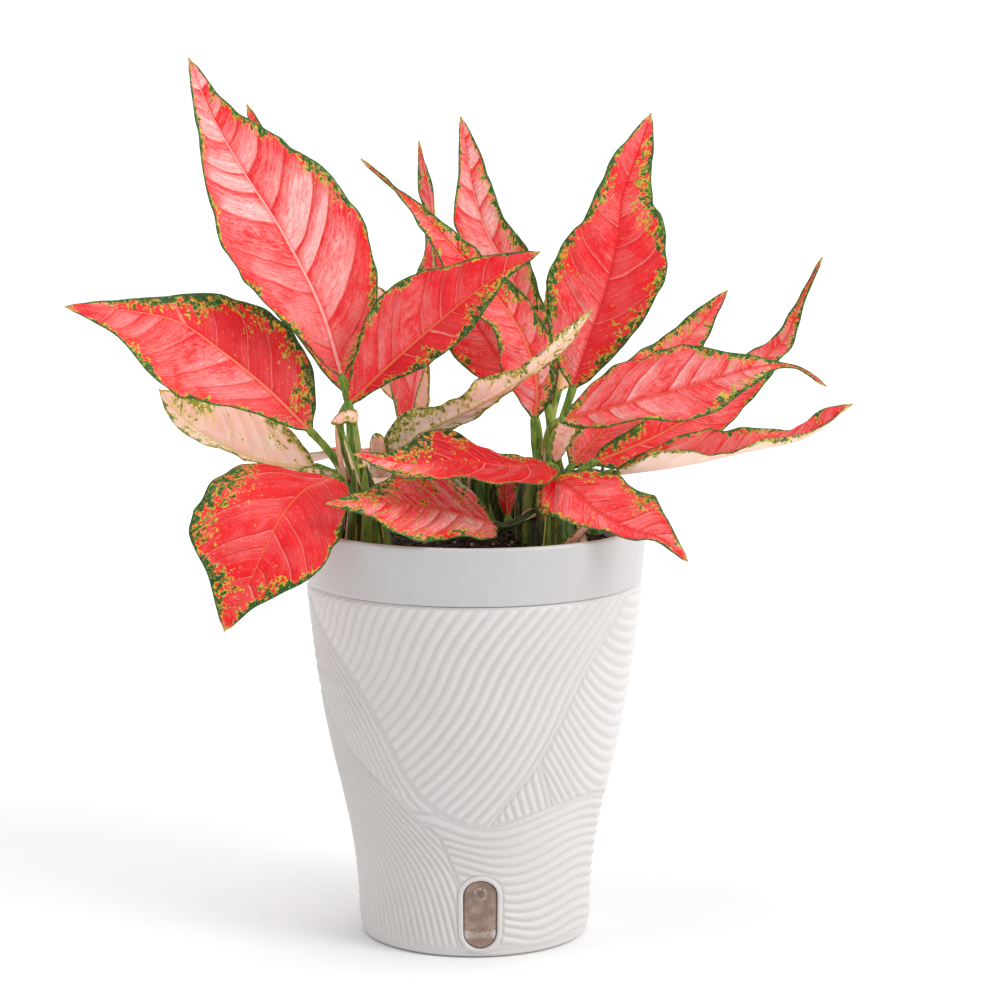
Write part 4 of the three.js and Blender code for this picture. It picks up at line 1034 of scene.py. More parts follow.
def half_widths(leaf, u, length, rib_half, seed):
    """How wide each half of a blade is, with a sway of its own and narrower at both ends."""
    ends = (1 - 0.7 * smooth(u, 0.97, 1)) * (0.25 + 0.75 * smooth(u, -0.02, 0.05))
    halves = []
    for number, side in enumerate(("left", "right")):
        half = Curve([[width, 0, 0] for width in leaf[side]]).at(u)[:, 0]
        sway = value_noise(u * length / MARGIN_SWAY_RUN + 4 * number, seed, 70 + seed)
        half = np.maximum(half + MARGIN_SWAY * np.sin(np.pi * u) * sway, rib_half + BLADE_EDGE)
        halves.append(np.maximum(half * ends, 0.8 * rib_half + 0.2))
    return halves


def blade_columns(halves, rib_half):
    """The places across a blade, row by row, from its left margin over the midrib to its right margin."""
    sides = []
    for sign, half in zip((-1, 1), halves):
        start = np.minimum(1.8 * rib_half, 0.6 * half)
        inner = [np.minimum(k * rib_half, 0.33 * k * half) for k in (0.5, 1.0)]
        outer = [start + (half - start) * t for t in np.linspace(0, 1, BLADE_COLUMNS) ** 0.92]
        sides.append([sign * place for place in inner + outer])
    return np.stack(sides[0][::-1] + [np.zeros_like(rib_half)] + sides[1], 1)


class Sheet:
    """A blade's grid of places: rows from its base to its tip, columns from its left to its right margin."""

    def __init__(self, leaf, seed):
        u = np.linspace(0, 1, BLADE_ROWS)
        self.place, _, self.up, self.side, self.length = blade_frame(leaf, u)
        rib_half = between(RIB_HALF_WIDTH, u)
        halves = half_widths(leaf, u, self.length, rib_half, seed)
        self.across = blade_columns(halves, rib_half)
        self.leaf, self.seed, self.u, self.rib_half = leaf, seed, u[:, None], rib_half[:, None]
        self.left = self.across < 0
        self.half = np.where(self.left, *(half[:, None] for half in halves))
        self.reach = np.abs(self.across)
        self.out = np.maximum(0, self.reach - self.rib_half)
        self.share = self.out / self.half
        self.run = np.broadcast_to(self.u * self.length, self.across.shape)
        self.spacing = np.clip(self.length / VEIN_SPACING[2], *VEIN_SPACING[:2])
        self.flank = np.where(self.left, 11.0, 4.0)
        self.vein = self.veins()

    def veins(self):
        """The side veins, counted along the blade: they slant and bend towards the tip, and alternate."""
        root = self.run - VEIN_SLANT * self.reach - VEIN_BEND * self.reach**2 / np.maximum(self.half, 8)
        sway = value_noise(root / (0.9 * self.spacing) + self.flank, self.flank, 40 + self.seed)
        wave = value_noise(self.run / 12 + self.seed, self.across / 8 + 7, 60 + self.seed)
        alternate = np.where(self.left, 0.5, 0) + 0.35 * self.seed
        return root / self.spacing + VEIN_SWAY * sway + alternate + VEIN_WAVE * wave

    def waves(self):
        """The long waves of the margins, and small ones on top of them."""
        height, count, start = self.leaf["wave"]
        u, s, left, seed = self.u, self.share, self.left, self.seed
        turn = count * u + start + np.where(left, 0.35, 0)
        long = height * 4 * u * (1 - u) * s**2 * np.sin(2 * np.pi * turn)
        turn = SMALL_WAVES * u + 0.37 * seed + np.where(left, 0.2, 0.6)
        small = np.sin(2 * np.pi * turn + 1.3 * np.sin(9 * u + seed))
        return long + SMALL_WAVE * smooth(s, 0.45, 1) * small * smooth(u, 0, 0.15) * smooth(u, 1, 0.9)

    def quilt(self):
        """Sunken veins with the skin between them raised and puckered."""
        body = smooth(self.share, 0.02, 0.2) * smooth(self.share, 1.0, 0.75) * np.clip(self.half / 12, 0, 1)
        fine = FINE_VEINS * self.vein
        grooves = VEIN_GROOVE * bell(np.abs(self.vein - np.round(self.vein)) * self.spacing, 1.0)
        grooves += FINE_GROOVE * bell(np.abs(fine - np.round(fine)) * self.spacing / FINE_VEINS, 0.7)
        pucker = PUCKER * value_noise(self.run / 11 + 3 * self.seed, self.across / 8, self.seed)
        return body * (pucker - grooves - PANEL_RISE * np.cos(2 * np.pi * self.vein))

    def middle(self):
        """The middle of the blade's thickness: folded along the midrib, cupped, waved and quilted."""
        fold, cup = self.leaf["fold"] * DEGREE, self.leaf["cup"]
        lift = self.out * np.sin(fold) + cup * self.half * self.share**2 + self.waves() + self.quilt()
        reach = np.sign(self.across) * (self.reach - self.out + self.out * np.cos(fold))
        sideways, upward = self.side[:, None] * reach[..., None], self.up[:, None] * lift[..., None]
        return self.place[:, None] + sideways + upward

    def sides(self):
        """The points of the upper and the lower side. The midrib is sunken above and stands out below."""
        middle = self.middle()
        normal = unit(np.cross(np.gradient(middle, axis=1), np.gradient(middle, axis=0)))
        thick = BLADE_THICKNESS * (1 - BLADE_THINNING * self.share) / 2
        thick = thick * np.where(self.reach >= self.half * 0.999, BLADE_RIM, 1)
        groove = RIB_GROOVE * bell(self.reach, 0.75 * self.rib_half + 0.1) * smooth(self.u, 0, 0.08)
        ridge = np.clip(1 - (self.reach / (1.35 * self.rib_half)) ** 2, 0, 1) ** 0.5
        depth = between(RIB_DEPTH, self.u) * ridge
        return middle + normal * (thick - groove)[..., None], middle - normal * (thick + depth)[..., None]

    def of_half(self, pair):
        """Values of the left and the right half, from base to tip, at each place."""
        return np.where(self.left, *(spread(values, self.u) for values in pair))

    def margin(self):
        """How far each place is from the blade's edge, and how wide the mottled margin is there."""
        lean = np.gradient(self.half, axis=0) / np.maximum(np.gradient(self.run, axis=0), 1e-6)
        edge = (self.half - self.reach) / np.sqrt(1 + lean**2)
        edge = np.minimum(edge, (1 - self.u) * self.length * 0.9 + 0.2)
        swing = value_noise(self.run / 9 + 5 * self.seed, np.sign(self.across) * 3, 90 + self.seed)
        band = self.of_half(self.leaf["band"]) * np.clip(1 + 0.9 * swing, 0.2, 2)
        band = np.minimum(band, np.maximum(0.6 * self.half + 0.3, band - 20))
        return edge, band * (1 - 0.8 * smooth(self.u, *TIP_MARGIN))

    def traits(self):
        """What the colours follow, at each place of one side."""
        leaf, seed = self.leaf, self.seed
        kind = value_noise(np.floor(self.vein) * 7.3 + seed, self.flank, 120 + seed)
        panel = leaf["panel"] * (1 + 0.8 * kind)
        pink, deep = self.of_half(leaf["pink"]), self.of_half(leaf["deep"])
        return {
            "grow": packed(self.run, self.across, seed * 3.7),
            "mask": packed(*self.margin(), self.vein),
            "tone": packed(pink, deep, self.reach / self.rib_half),
            "trait": packed(leaf["speck"], leaf["rib_tone"], panel),
            "spot": packed(self.u, self.share, self.spacing),
        }


def blade_faces(rows, columns):
    """The faces of both sides of a blade and of its rim, and 1 for each face that lies underneath."""
    count = rows * columns
    upper, lower = grid_faces(rows, columns), grid_faces(rows, columns, start=count, flip=True)
    i, j = np.arange(rows - 1) * columns, np.arange(columns - 1)
    last = count - columns + j
    rim = [edge_faces(i + count, i + columns + count, -count),
           edge_faces(i + columns - 1, i + 2 * columns - 1, count),
           edge_faces(j + 1, j + 1 + count, -1), edge_faces(last, last + count, 1)]
    faces = np.concatenate([upper, lower, *rim])
    return faces, np.repeat([0, 1, 0], [len(upper), len(lower), len(faces) - len(upper) - len(lower)])


def blade(name, leaf, seed):
    """A leaf's blade: a waved sheet with sunken veins, a midrib that stands out below and thin edges."""
    sheet = Sheet(leaf, seed)
    faces, under = blade_faces(*sheet.across.shape)
    points = np.concatenate([side.reshape(-1, 3) for side in sheet.sides()])
    traits = [(key, np.concatenate([values.reshape(-1, 3)] * 2)) for key, values in sheet.traits().items()]
    piece = mesh_object(name.replace("leaf_", "blade_"), points, faces.tolist(), [LEAF_TOP, LEAF_UNDER],
                        under, traits)
    return stand_for(piece, name)


# ---- leaf colours -------------------------------------------------------------------------------
RED_FULL, RED_CORAL = srgb(236, 22, 32), srgb(238, 62, 62)
RED_DEEP, RED_DARK = srgb(214, 14, 26), srgb(158, 14, 24)
PINK, PINK_WHITE, VEIN_LIGHT = srgb(242, 138, 136), srgb(252, 210, 206), srgb(248, 162, 150)
ORANGE, YELLOW, YELLOW_GREEN = srgb(228, 118, 52), srgb(230, 208, 62), srgb(156, 182, 56)
GREEN, GREEN_DARK, GREEN_BLACK = srgb(72, 118, 50), srgb(38, 80, 38), srgb(26, 38, 16)
RIB_PALE, RIB_OLIVE, RIB_RED = srgb(252, 176, 166), srgb(220, 134, 76), srgb(212, 30, 42)
TIP = srgb(206, 168, 96)
UNDER_PINK, UNDER_CREAM, UNDER_ROSE = srgb(255, 206, 186), srgb(255, 226, 208), srgb(252, 168, 152)
UNDER_BLUSH, UNDER_YELLOW, UNDER_GREEN = srgb(232, 104, 96), srgb(226, 204, 92), srgb(64, 88, 36)
UNDER_LIME, UNDER_RIB = srgb(158, 174, 56), srgb(226, 190, 116)
# Layers of colour, as Graph.lay reads them. The values are named in leaf_parts, leaf_top and leaf_under.
# The two pale layers are partly the skin's own pink and partly painted sheen and highlight.
TOP_LAYERS = (
    ("pale", -0.05, 0.66, PINK), ("pale", 0.52, 1.10, 0.85, PINK_WHITE), ("deep_red_and_shade_cloud", RED_DEEP),
    ("deep", 0.5, 1.1, 0.85, "dark_red"), ("painted_shade", 0.6, RED_DEEP), ("veins", VEIN_LIGHT),
    ("fine_veins", VEIN_LIGHT), ("pores", PINK_WHITE), ("grain", 0.44, 0.22, 0.40, RED_DARK),
    ("spark", 0.40, 0.28, 0.30, RED_DARK),
    ("fringe_cloud", "fringe_colour"), ("green", "green_colour"), ("rib", 1.5, 0.8, 0.35, RED_FULL),
    ("rib_cloud", "rib_colour"), ("rim_cloud", "rim_colour"), ("tip", 0.85, TIP),
)
TOP_RED = (("big", 0.36, 0.62, RED_CORAL), ("spark", 0.5, 0.72, 0.5, RED_FULL))
TOP_DARK_RED = (("streak", 0.35, 0.6, RED_DEEP),)
TOP_FRINGE = (("small", 0.36, 0.50, YELLOW), ("grain", 0.42, 0.56, 0.9, YELLOW_GREEN))
TOP_GREEN = (("grain", 0.42, 0.58, GREEN), ("small", 0.54, 0.64, 0.85, YELLOW_GREEN),
             ("fibre", 0.5, 0.36, 0.7, GREEN_BLACK), ("deep", 0.8, GREEN_BLACK))
TOP_RIB = (("rib_tone", 0.0, 0.5, RIB_OLIVE), ("rib_tone", 0.5, 1.0, RIB_RED))
TOP_RIM = (("small", 0.45, 0.62, GREEN),)
# On the underside a high pink value lightens the colour to cream: painted light on undersides that lie in
# shade.
UNDER_LAYERS = (
    ("big", 0.35, 0.65, UNDER_CREAM), ("streak", 0.4, 0.75, 0.5, UNDER_PINK), ("line_soft", 0.15, UNDER_ROSE),
    ("grain", 0.5, 0.8, 0.35, UNDER_ROSE), ("deep", 0.8, RED_CORAL),
    ("rib_tone", 0.5, 1.0, 0.85, UNDER_BLUSH), ("pink", 0.4, 1.0, UNDER_CREAM),
    ("fringe", 0.7, UNDER_YELLOW), ("green", 0.92, "green_colour"),
    ("rib", 1.1, 0.6, 0.7, UNDER_RIB), ("rim", 0.75, "rim_colour"), ("tip", 0.7, TIP),
)
UNDER_GREENS = (("small", 0.36, 0.56, UNDER_LIME), ("fleck", 0.54, 0.62, 0.8, UNDER_YELLOW),
                ("grain", 0.52, 0.38, 0.8, GREEN_DARK), ("edge", 2.5, 0.8, 0.8, GREEN_DARK))
UNDER_RIM = (("small", 0.4, 0.6, UNDER_YELLOW),)


def leaf_parts(g, blot, rim):
    """The values that colour a side of a leaf. blot sets how fine the stray marks are, rim how wide the edge
    is."""
    names = (("grow", "run across seed"), ("mask", "edge band vein"), ("tone", "pink deep rib"),
             ("trait", "speck rib_tone panel"), ("spot", "u share spacing"))
    p = {key: value for name, keys in names for key, value in zip(keys.split(), g.attribute(name))}
    run, across, seed, vein, spacing = (p[key] for key in ("run", "across", "seed", "vein", "spacing"))
    # noise over the blade as it lies flat, and noise drawn out along the veins
    flat = g.vector(run, across, seed)
    out = g.math("ABSOLUTE", across)
    along_vein = g.times(vein, spacing)
    p["big"] = g.noise(flat, 0.07, 2)
    p["mid"] = g.noise(flat, 0.27, 4, 0.64)
    p["small"] = g.noise(flat, 0.6, 2, 0.55)
    p["spark"] = g.noise(g.vector(g.add(run, 40.0), across, seed), 0.55, 3, 0.65)
    p["pore"] = g.step(g.cells(flat, 0.5), 0.12, 0.04)
    p["grain"] = g.noise(g.vector(g.times(out, 1.1), g.times(along_vein, 2.2), seed), 1.0, 3, 0.7)
    p["fleck"] = g.noise(g.vector(g.times(out, 0.32), along_vein, seed), 0.85, 2, 0.6)
    p["fibre"] = g.noise(g.vector(g.times(out, 0.35), g.times(along_vein, 1.6), seed), 1.0, 3, 0.6)
    p["streak"] = g.noise(g.vector(g.times(out, 0.14), along_vein, seed), 0.75, 4, 0.7)
    blob = g.noise(g.vector(g.times(out, 0.22), g.times(along_vein, 0.42), g.add(seed, 9.0)), blot, 3, 0.6)
    # the veins
    p["part"] = part = g.math("FRACT", vein)
    near = g.times(g.math("MINIMUM", part, g.less(1.0, part)), spacing)
    p["line"] = g.step(near, 0.5, 0.1)
    p["line_soft"] = g.step(near, 2.2, 0.2)
    fine = g.math("FRACT", g.times(vein, FINE_VEINS))
    near = g.times(g.math("MINIMUM", fine, g.less(1.0, fine)), g.times(spacing, 1 / FINE_VEINS))
    p["fine_line"] = g.step(near, 0.45, 0.1)
    # the mottled margin, the flecks that stray from it, and the green rim
    inward = g.math("DIVIDE", p["edge"], g.math("MAXIMUM", p["band"], 0.3))
    mottle = g.add(g.sway(p["mid"], 4.2), g.sway(p["fleck"], 2.0))
    value = g.add(g.less(1.02, g.times(inward, 0.80)), mottle)
    stray = g.less(g.add(blob, g.sway(p["spark"], 0.35)), g.less(0.82, g.times(p["speck"], 0.19)))
    stray = g.less(g.times(stray, 6.0), g.times(g.step(inward, 1.5, 7), 0.30))
    value = g.math("MAXIMUM", value, g.add(stray, 0.5))
    p["green"] = g.step(value, 0.54, 0.66)
    p["fringe"] = g.step(g.add(value, g.sway(p["small"], 2.2)), 0.26, 0.50)
    p["rim"] = g.step(g.add(p["edge"], g.sway(p["mid"], 3.2)), rim, 0.45 * rim)
    p["tip"] = g.step(g.add(p["u"], g.sway(p["small"], 0.05)), 0.955, 0.995)
    return p


def leaf_top():
    """The upper side: red, paler from vein to vein, partly as painted sheen and shade, within a mottled green
    margin.
    """
    g = Graph("leaf_upper")
    p = leaf_parts(g, 1.0, 0.95)
    part, share = p["part"], p["share"]
    # Panels are palest just past each vein: partly the skin's own pink and partly painted sheen.
    saw = g.times(g.less(1.0, part), g.step(part, 0.0, 0.05))
    inner = g.times(g.step(share, 1.0, 0.5), g.step(share, 0.0, 0.10, 0.6, 1.0))
    pale = g.add(0.16, g.times(g.times(p["panel"], saw), 0.95))
    pale = g.times(g.times(p["pink"], g.times(pale, inner)), 1.15)
    pale = g.math("MINIMUM", g.add(pale, g.sway(p["big"], 0.5)), 0.80)
    skin = g.add(g.add(g.sway(p["streak"], 1.4), g.sway(p["fibre"], 1.5)), g.sway(p["grain"], 1.2))
    p["pale"] = g.add(pale, g.times(skin, g.add(0.30, g.times(p["pink"], 0.62))))
    # Deep makes the red fuller and darker and the green nearly black: partly the leaf's own deep red, partly
    # painted shade.
    p["deep_red_and_shade_cloud"] = g.times(p["deep"], g.step(p["mid"], 0.2, 0.8, 0.8, 1.0))
    p["dark_red"] = g.lay(RED_DARK, p, TOP_DARK_RED)
    # Painted shade: deeper red towards the end of each panel, where it dips into the next vein.
    p["painted_shade"] = g.times(g.step(g.less(part, g.times(share, 0.05)), 0.80, 0.98), g.step(part, 1.0, 0.985))
    p["veins"] = g.times(p["line"], g.step(p["mid"], 0.3, 0.6, 0.15, 0.6))
    p["fine_veins"] = g.times(p["fine_line"], g.step(p["spark"], 0.45, 0.7, 0.0, 0.30))
    p["pores"] = g.times(p["pore"], g.step(p["small"], 0.5, 0.6, 0, 0.55))
    p["fringe_colour"] = g.lay(ORANGE, p, TOP_FRINGE)
    p["fringe_cloud"] = g.times(p["fringe"], g.step(p["grain"], 0.35, 0.5, 0.45, 0.85))
    p["green_colour"] = g.lay(GREEN_DARK, p, TOP_GREEN)
    p["rib_colour"] = g.lay(RIB_PALE, p, TOP_RIB)
    rib_width = g.step(p["rib_tone"], 0.0, 0.4, 0.75, 0.5)
    rib = g.step(g.math("DIVIDE", p["rib"], rib_width), 1.0, 0.5)
    p["rib_cloud"] = g.times(rib, g.step(p["mid"], 0.25, 0.6, 0.6, 0.95))
    p["rim_colour"] = g.lay(GREEN_DARK, p, TOP_RIM)
    p["rim_cloud"] = g.times(p["rim"], g.step(p["small"], 0.25, 0.5, 0.6, 0.92))
    colour = g.lay(g.lay(RED_FULL, p, TOP_RED), p, TOP_LAYERS)
    height = g.add(g.add(g.times(p["grain"], 0.5), g.times(p["line"], -0.5)), g.times(p["streak"], 0.6))
    g.shader(colour, g.step(p["mid"], 0.3, 0.7, 0.38, 0.52), g.bump(height, 0.00025, 0.7), specular=0.25)
    return g.holder


def leaf_under():
    """The underside: pale pink, lifted in places by painted light, with the margin showing through in yellow
    and green.
    """
    g = Graph("leaf_underside")
    p = leaf_parts(g, 0.6, 1.5)
    p["green_colour"] = g.lay(UNDER_GREEN, p, UNDER_GREENS)
    p["rim_colour"] = g.lay(UNDER_GREEN, p, UNDER_RIM)
    colour = g.lay(UNDER_PINK, p, UNDER_LAYERS)
    height = g.add(g.times(p["grain"], 0.3), g.times(p["line"], 0.6))
    g.shader(colour, g.step(p["mid"], 0.3, 0.7, 0.45, 0.6), g.bump(height, 0.0002, 0.7), specular=0.25)
    return g.holder


# ---- stems and leaf stalks ----------------------------------------------------------------------
LOBES, FACETS, FOOT_ROWS = 15, 9, 64  # of a stem's foot: old leaf bases, facets across each, rows up it
LOBE_WIDTHS, LOBE_HEIGHTS = (0.6, 1.4), (0.86, 1.0)
LOBE_DEPTH = (0.22, 2.4)  # as a share of the radius, and at most
STRIP_ROWS, STRIP_SIDES, STRIP_THICKNESS = 30, 14, 1.1
STALK_ROWS, STALK_SIDES, STALK_RADIUS = 44, 20, (2.6, 1.7)
STALK_SPREAD = 0.6  # how far from the stem's middle stalks start, as a share of its radius
STALK_GROOVE = 0.24
# The stalk's end inside the blade: place along it, how far on from the stalk's end it is and how far down.
STALK_ROOT = ((1.02, 1.2, 0.25), (1.05, 2.6, 0.7))
SHEATH_SPAN, SHEATH_ROWS, SHEATH_WIDTH, SHEATH_COLUMNS = (0.02, 0.62), 26, 3.2, (0.0, 0.3, 0.6, 0.85, 1.0)
# The skin's colours follow a kind: up to 0.45 it is the foot and old leaf bases, 1 stalks, 2 sheaths, and
# from 3 on torn leaf bases. Stalks and sheaths add a hundredth for each leaf of the table.
STALK_KIND, SHEATH_KIND, KIND_STEP, OLDEST = 1.0, 2.0, 0.01, 0.45
# The stalk of leaf_front_lowest is painted near black, as painted shade in the dark gap behind the front
# leaves.
PAINTED_SHADE_STALK = KIND_STEP * list(LEAVES).index("leaf_front_lowest")
# Loose bits among the stalks: the points each runs through, the way it faces, its width and its kind.
BITS = {
    "stem_left": (
        (((-57, -21, 264), (-63, -24, 265), (-70, -23, 261)), (-0.1, -0.9, 0.3), 8.5, 3.4),
        (((-60, -13, 212), (-64, -15, 230), (-67, -18, 248), (-68, -20, 260)), (-0.3, -0.9, 0.1), 4.0, 0.42),
        (((-63, -8, 226), (-75, -9, 231), (-88, -8, 235)), (-0.1, -1.0, 0.1), 16.0, 3.45),
        (((-46, 8, 230), (-48, 6, 243), (-49, 5, 253)), (-0.2, -1.0, 0.1), 14.0, 3.1),
        (((-70, -8, 206), (-73, -12, 224), (-76, -14, 238)), (-0.3, -0.9, 0.1), 6.0, 0.2),
    ),
    "stem_right": (
        (((44, -26, 199), (50, -29, 205), (57, -30, 213)), (0.2, -0.9, 0.2), 6.0, 3.3),
        (((60, -12, 204), (63, -14, 222), (64, -16, 240)), (0.5, -0.8, 0.1), 6.0, 0.25),
        (((46, -26, 260), (43, -25, 252), (40, -22, 242)), (0.1, -1.0, 0.1), 11.0, 3.18),
        # a broad dark strip that stands in for the shade among the stems
        (((24, -4, 200), (23, -4, 220), (27, -6, 242)), (-0.3, -0.9, 0.1), 8.0, 0.04),
        (((27, -14, 200), (27, -15, 222), (31, -16, 244)), (-0.2, -0.9, 0.1), 6.5, 0.30),
    ),
    # Broad dark strips that stand in for the shade behind the stems, over the collar's inner wall.
    "stem_back": (
        (((14, 26, 200), (13, 24, 222), (12, 22, 238)), (0.2, -0.9, 0.1), 13.0, 0.03),
        (((26, 28, 200), (26, 27, 222), (27, 26, 238)), (0.2, -0.9, 0.1), 14.0, 0.02),
        (((-10, 24, 200), (-12, 22, 222), (-14, 20, 236)), (-0.2, -0.9, 0.1), 9.0, 0.12),
    ),
}


class Clump:
    """The points, faces and traits of a stem's piece, added block by block."""

    def __init__(self):
        self.points, self.faces, self.traits, self.count = [], [], [], 0

    def add(self, points, faces, traits):
        """Adds a block; a trait that is the same all over may be given once."""
        self.traits.append(np.broadcast_to(traits, points.shape).reshape(-1, 3))
        self.points.append(points.reshape(-1, 3))
        self.faces += (faces + self.count).tolist()
        self.count += len(self.points[-1])

    def add_cap(self, ring, middle, traits, flip=False):
        self.add(np.concatenate([ring, middle[None]]), fan_faces(len(ring), flip), traits)


def carried(tangents, start):
    """Side directions carried along a curve without twisting."""
    sides = [start]
    for along in tangents:
        sides.append(square_to(sides[-1], along))
    return np.array(sides[1:])


def stem(name):
    """A fleshy stem with the stalks of its leaves, the bases of old ones round its foot, and loose bits."""
    row, clump = STEMS[name], Clump()
    axis = Curve(row["axis"])
    rng = np.random.default_rng(len(name))
    foot(axis, row["radius"], rng, clump)
    for index, leaf in enumerate(LEAVES.values()):
        if leaf["stem"] == name:
            stalk(leaf, index, axis, row["radius"], clump)
    t = np.linspace(0, 1, 6)
    for k in range(row["strips"]):
        turn = FULL_TURN * (k + rng.uniform(-0.3, 0.3)) / row["strips"] + 0.5 * t
        share = rng.uniform(0.62, 1.0) * t + 0.12
        lean = row["radius"][0] * (rng.uniform(0.80, 0.96) - rng.uniform(0.30, 0.45) * t)
        out = packed(np.cos(turn), np.sin(turn), 0)
        line = axis.place(np.minimum(share, 1)) + out * lean[:, None]
        strip(line, out, rng.uniform(5, 8), OLDEST * rng.uniform(0, 1), clump)
    for line, out, width, kind in BITS[name]:
        strip(line, [out], width, kind, clump)
    points, traits = np.concatenate(clump.points), [("grow", np.concatenate(clump.traits))]
    piece = mesh_object(name.replace("stem", "stalks"), points, clump.faces, [STALK_SKIN], None, traits)
    return stand_for(piece, name)


def foot(axis, radii, rng, clump):
    """The foot of a stem: a tapering trunk of lobes, the bases of old leaves packed round it."""
    u = np.linspace(0, 1, FOOT_ROWS)
    centre, along = axis.place(u), axis.tangent(u)
    side = carried(along, np.array([1.0, 0, 0]))
    back = np.cross(along, side)
    widths = rng.uniform(*LOBE_WIDTHS, LOBES)
    bounds = np.concatenate([[0], np.cumsum(widths)]) / widths.sum() * FULL_TURN
    q = (np.arange(FACETS) + 0.5) / FACETS
    around_foot = (bounds[:-1, None] + np.diff(bounds)[:, None] * q).ravel()
    q, lobe = np.tile(q, LOBES), np.repeat(np.arange(LOBES), FACETS)
    high = rng.uniform(*LOBE_HEIGHTS, LOBES)[lobe]
    u, radius = u[:, None], between(radii, u)[:, None]
    groove = 1 - np.sqrt(np.clip(1 - (2 * q - 1) ** 2, 0, 1))
    radius = radius * high - np.minimum(LOBE_DEPTH[0] * radius, LOBE_DEPTH[1]) * groove
    radius = (radius + 0.25 * value_noise(u * 30, around_foot * 2, 7))[..., None]
    turn = (around_foot + 0.5 * u + 0.06 * np.sin(7 * u + lobe))[..., None]
    ring = centre[:, None] + radius * (np.cos(turn) * side[:, None] + np.sin(turn) * back[:, None])
    kind = OLDEST * rng.uniform(0, 1, LOBES)[lobe]
    clump.add(ring, grid_faces(FOOT_ROWS, LOBES * FACETS, closed=True), packed(u * axis.length, q, kind))
    clump.add_cap(ring[-1], centre[-1] + along[-1] * 1.5, (0, 0, 0))


def strip(line, out, width, kind, clump):
    """A strip of an old leaf base: it follows a line, is hollow towards the stem and tapers to a torn tip."""
    t = np.linspace(0, 1, STRIP_ROWS)
    curve = Curve(line)
    centre, along = curve.place(t), curve.tangent(t)
    outward = square_to(Curve(out).at(t), along)
    across = np.cross(along, outward)
    turn = whole_turn(STRIP_SIDES)
    half = (0.5 * width * (1 - 0.35 * t) * np.sqrt(np.clip(1 - t**5, 0.01, 1)))[:, None]
    thick = STRIP_THICKNESS * (1 - 0.6 * t[:, None])
    x = half * np.cos(turn)
    y = thick * np.sin(turn) - 0.5 * x**2 / np.maximum(half, 1)
    ring = centre[:, None] + across[:, None] * x[..., None] + outward[:, None] * y[..., None]
    clump.add(ring, grid_faces(STRIP_ROWS, STRIP_SIDES, closed=True),
              packed(t[:, None], 0.5 + 0.5 * np.cos(turn), kind))
    for end in (0, -1):
        clump.add_cap(ring[end], centre[end], (t[end], 0.5, kind), flip=end == 0)


def stalk(leaf, index, axis, radii, clump):
    """One leaf stalk: a grooved tube along a Bezier curve from the stem into the blade, with its sheath."""
    (start,), (rise,) = axis.place(leaf["share"]), axis.tangent(leaf["share"])
    (end,), (direction,), (up,), _, _ = blade_frame(leaf, np.zeros(1))
    start = start + square_to(end - start, rise) * STALK_SPREAD * between(radii, leaf["share"])
    reach = np.linalg.norm(end - start)
    p = (start, start + rise * reach * 0.45, end - direction * reach * 0.4, end)
    t = np.linspace(0, 1, STALK_ROWS)[:, None]
    line = (1 - t) ** 3 * p[0] + 3 * t * (1 - t) ** 2 * p[1] + 3 * t**2 * (1 - t) * p[2] + t**3 * p[3]
    line = np.concatenate([line, [line[-1] + direction * on - up * down for _, on, down in STALK_ROOT]])
    t = np.concatenate([t[:, 0], [place for place, _, _ in STALK_ROOT]])
    along = unit(np.gradient(line, axis=0))
    back = carried(along[::-1], up)[::-1]  # the upper side of the stalk
    side = np.cross(along, back)
    radius = between(STALK_RADIUS, np.minimum(t, 1)) * np.where(t > 1, 0.75, 1 + 0.22 * smooth(t, 0.85, 1.0))
    turn = whole_turn(STALK_SIDES)
    groove = 1 - STALK_GROOVE * bell((turn + np.pi / 2) % FULL_TURN - np.pi, 0.55)
    x, y = (1.06 * np.cos(turn) * groove)[:, None], (0.92 * np.sin(turn) * groove)[:, None]
    ring = line[:, None] + radius[:, None, None] * (x * side[:, None] + y * back[:, None])
    clump.add(ring, grid_faces(len(line), STALK_SIDES, closed=True),
              packed(t[:, None], turn, STALK_KIND + index * KIND_STEP))
    clump.add_cap(ring[-1], line[-1] + along[-1] * 0.8, (1, 0, STALK_KIND))
    sheath(index, t, line, side, back, radius, clump)


def sheath(index, t, line, side, back, radius, clump):
    """The sheath low on a stalk: two thin flaps that stand up from its sides and lean over its upper side."""
    s = np.linspace(*SHEATH_SPAN, SHEATH_ROWS)
    width = SHEATH_WIDTH * np.sin(np.pi * np.linspace(0, 1, SHEATH_ROWS) ** 0.8)[:, None]
    low_down = lambda v: np.stack([np.interp(s, t, axis) for axis in v.T], -1)[:, None]
    line, side, back = low_down(line), unit(low_down(side)), unit(low_down(back))
    radius, q = np.interp(s, t, radius)[:, None], np.array(SHEATH_COLUMNS)
    columns, count, kind = len(q), len(q) * SHEATH_ROWS, SHEATH_KIND + index * KIND_STEP
    rim = np.arange(SHEATH_ROWS - 1) * columns + columns - 1
    for sign in (-1, 1):
        wave = 0.35 * np.sin(19 * s[:, None] + sign + index) * q * q
        x = radius * 0.9 + width * q * (0.45 - 0.45 * q) + wave
        y = 0.3 + width * q * 0.85
        inner = line + side * (sign * x)[..., None] + back * y[..., None]
        outer = inner - side * sign * 0.35 - back * 0.1
        edge = edge_faces(rim, rim + columns, count)
        faces = [grid_faces(SHEATH_ROWS, columns, flip=sign > 0),
                 grid_faces(SHEATH_ROWS, columns, start=count, flip=sign < 0),
                 edge if sign > 0 else edge[:, ::-1]]
        clump.add(np.stack([inner, outer]), np.concatenate(faces), packed(s[:, None], q, kind))


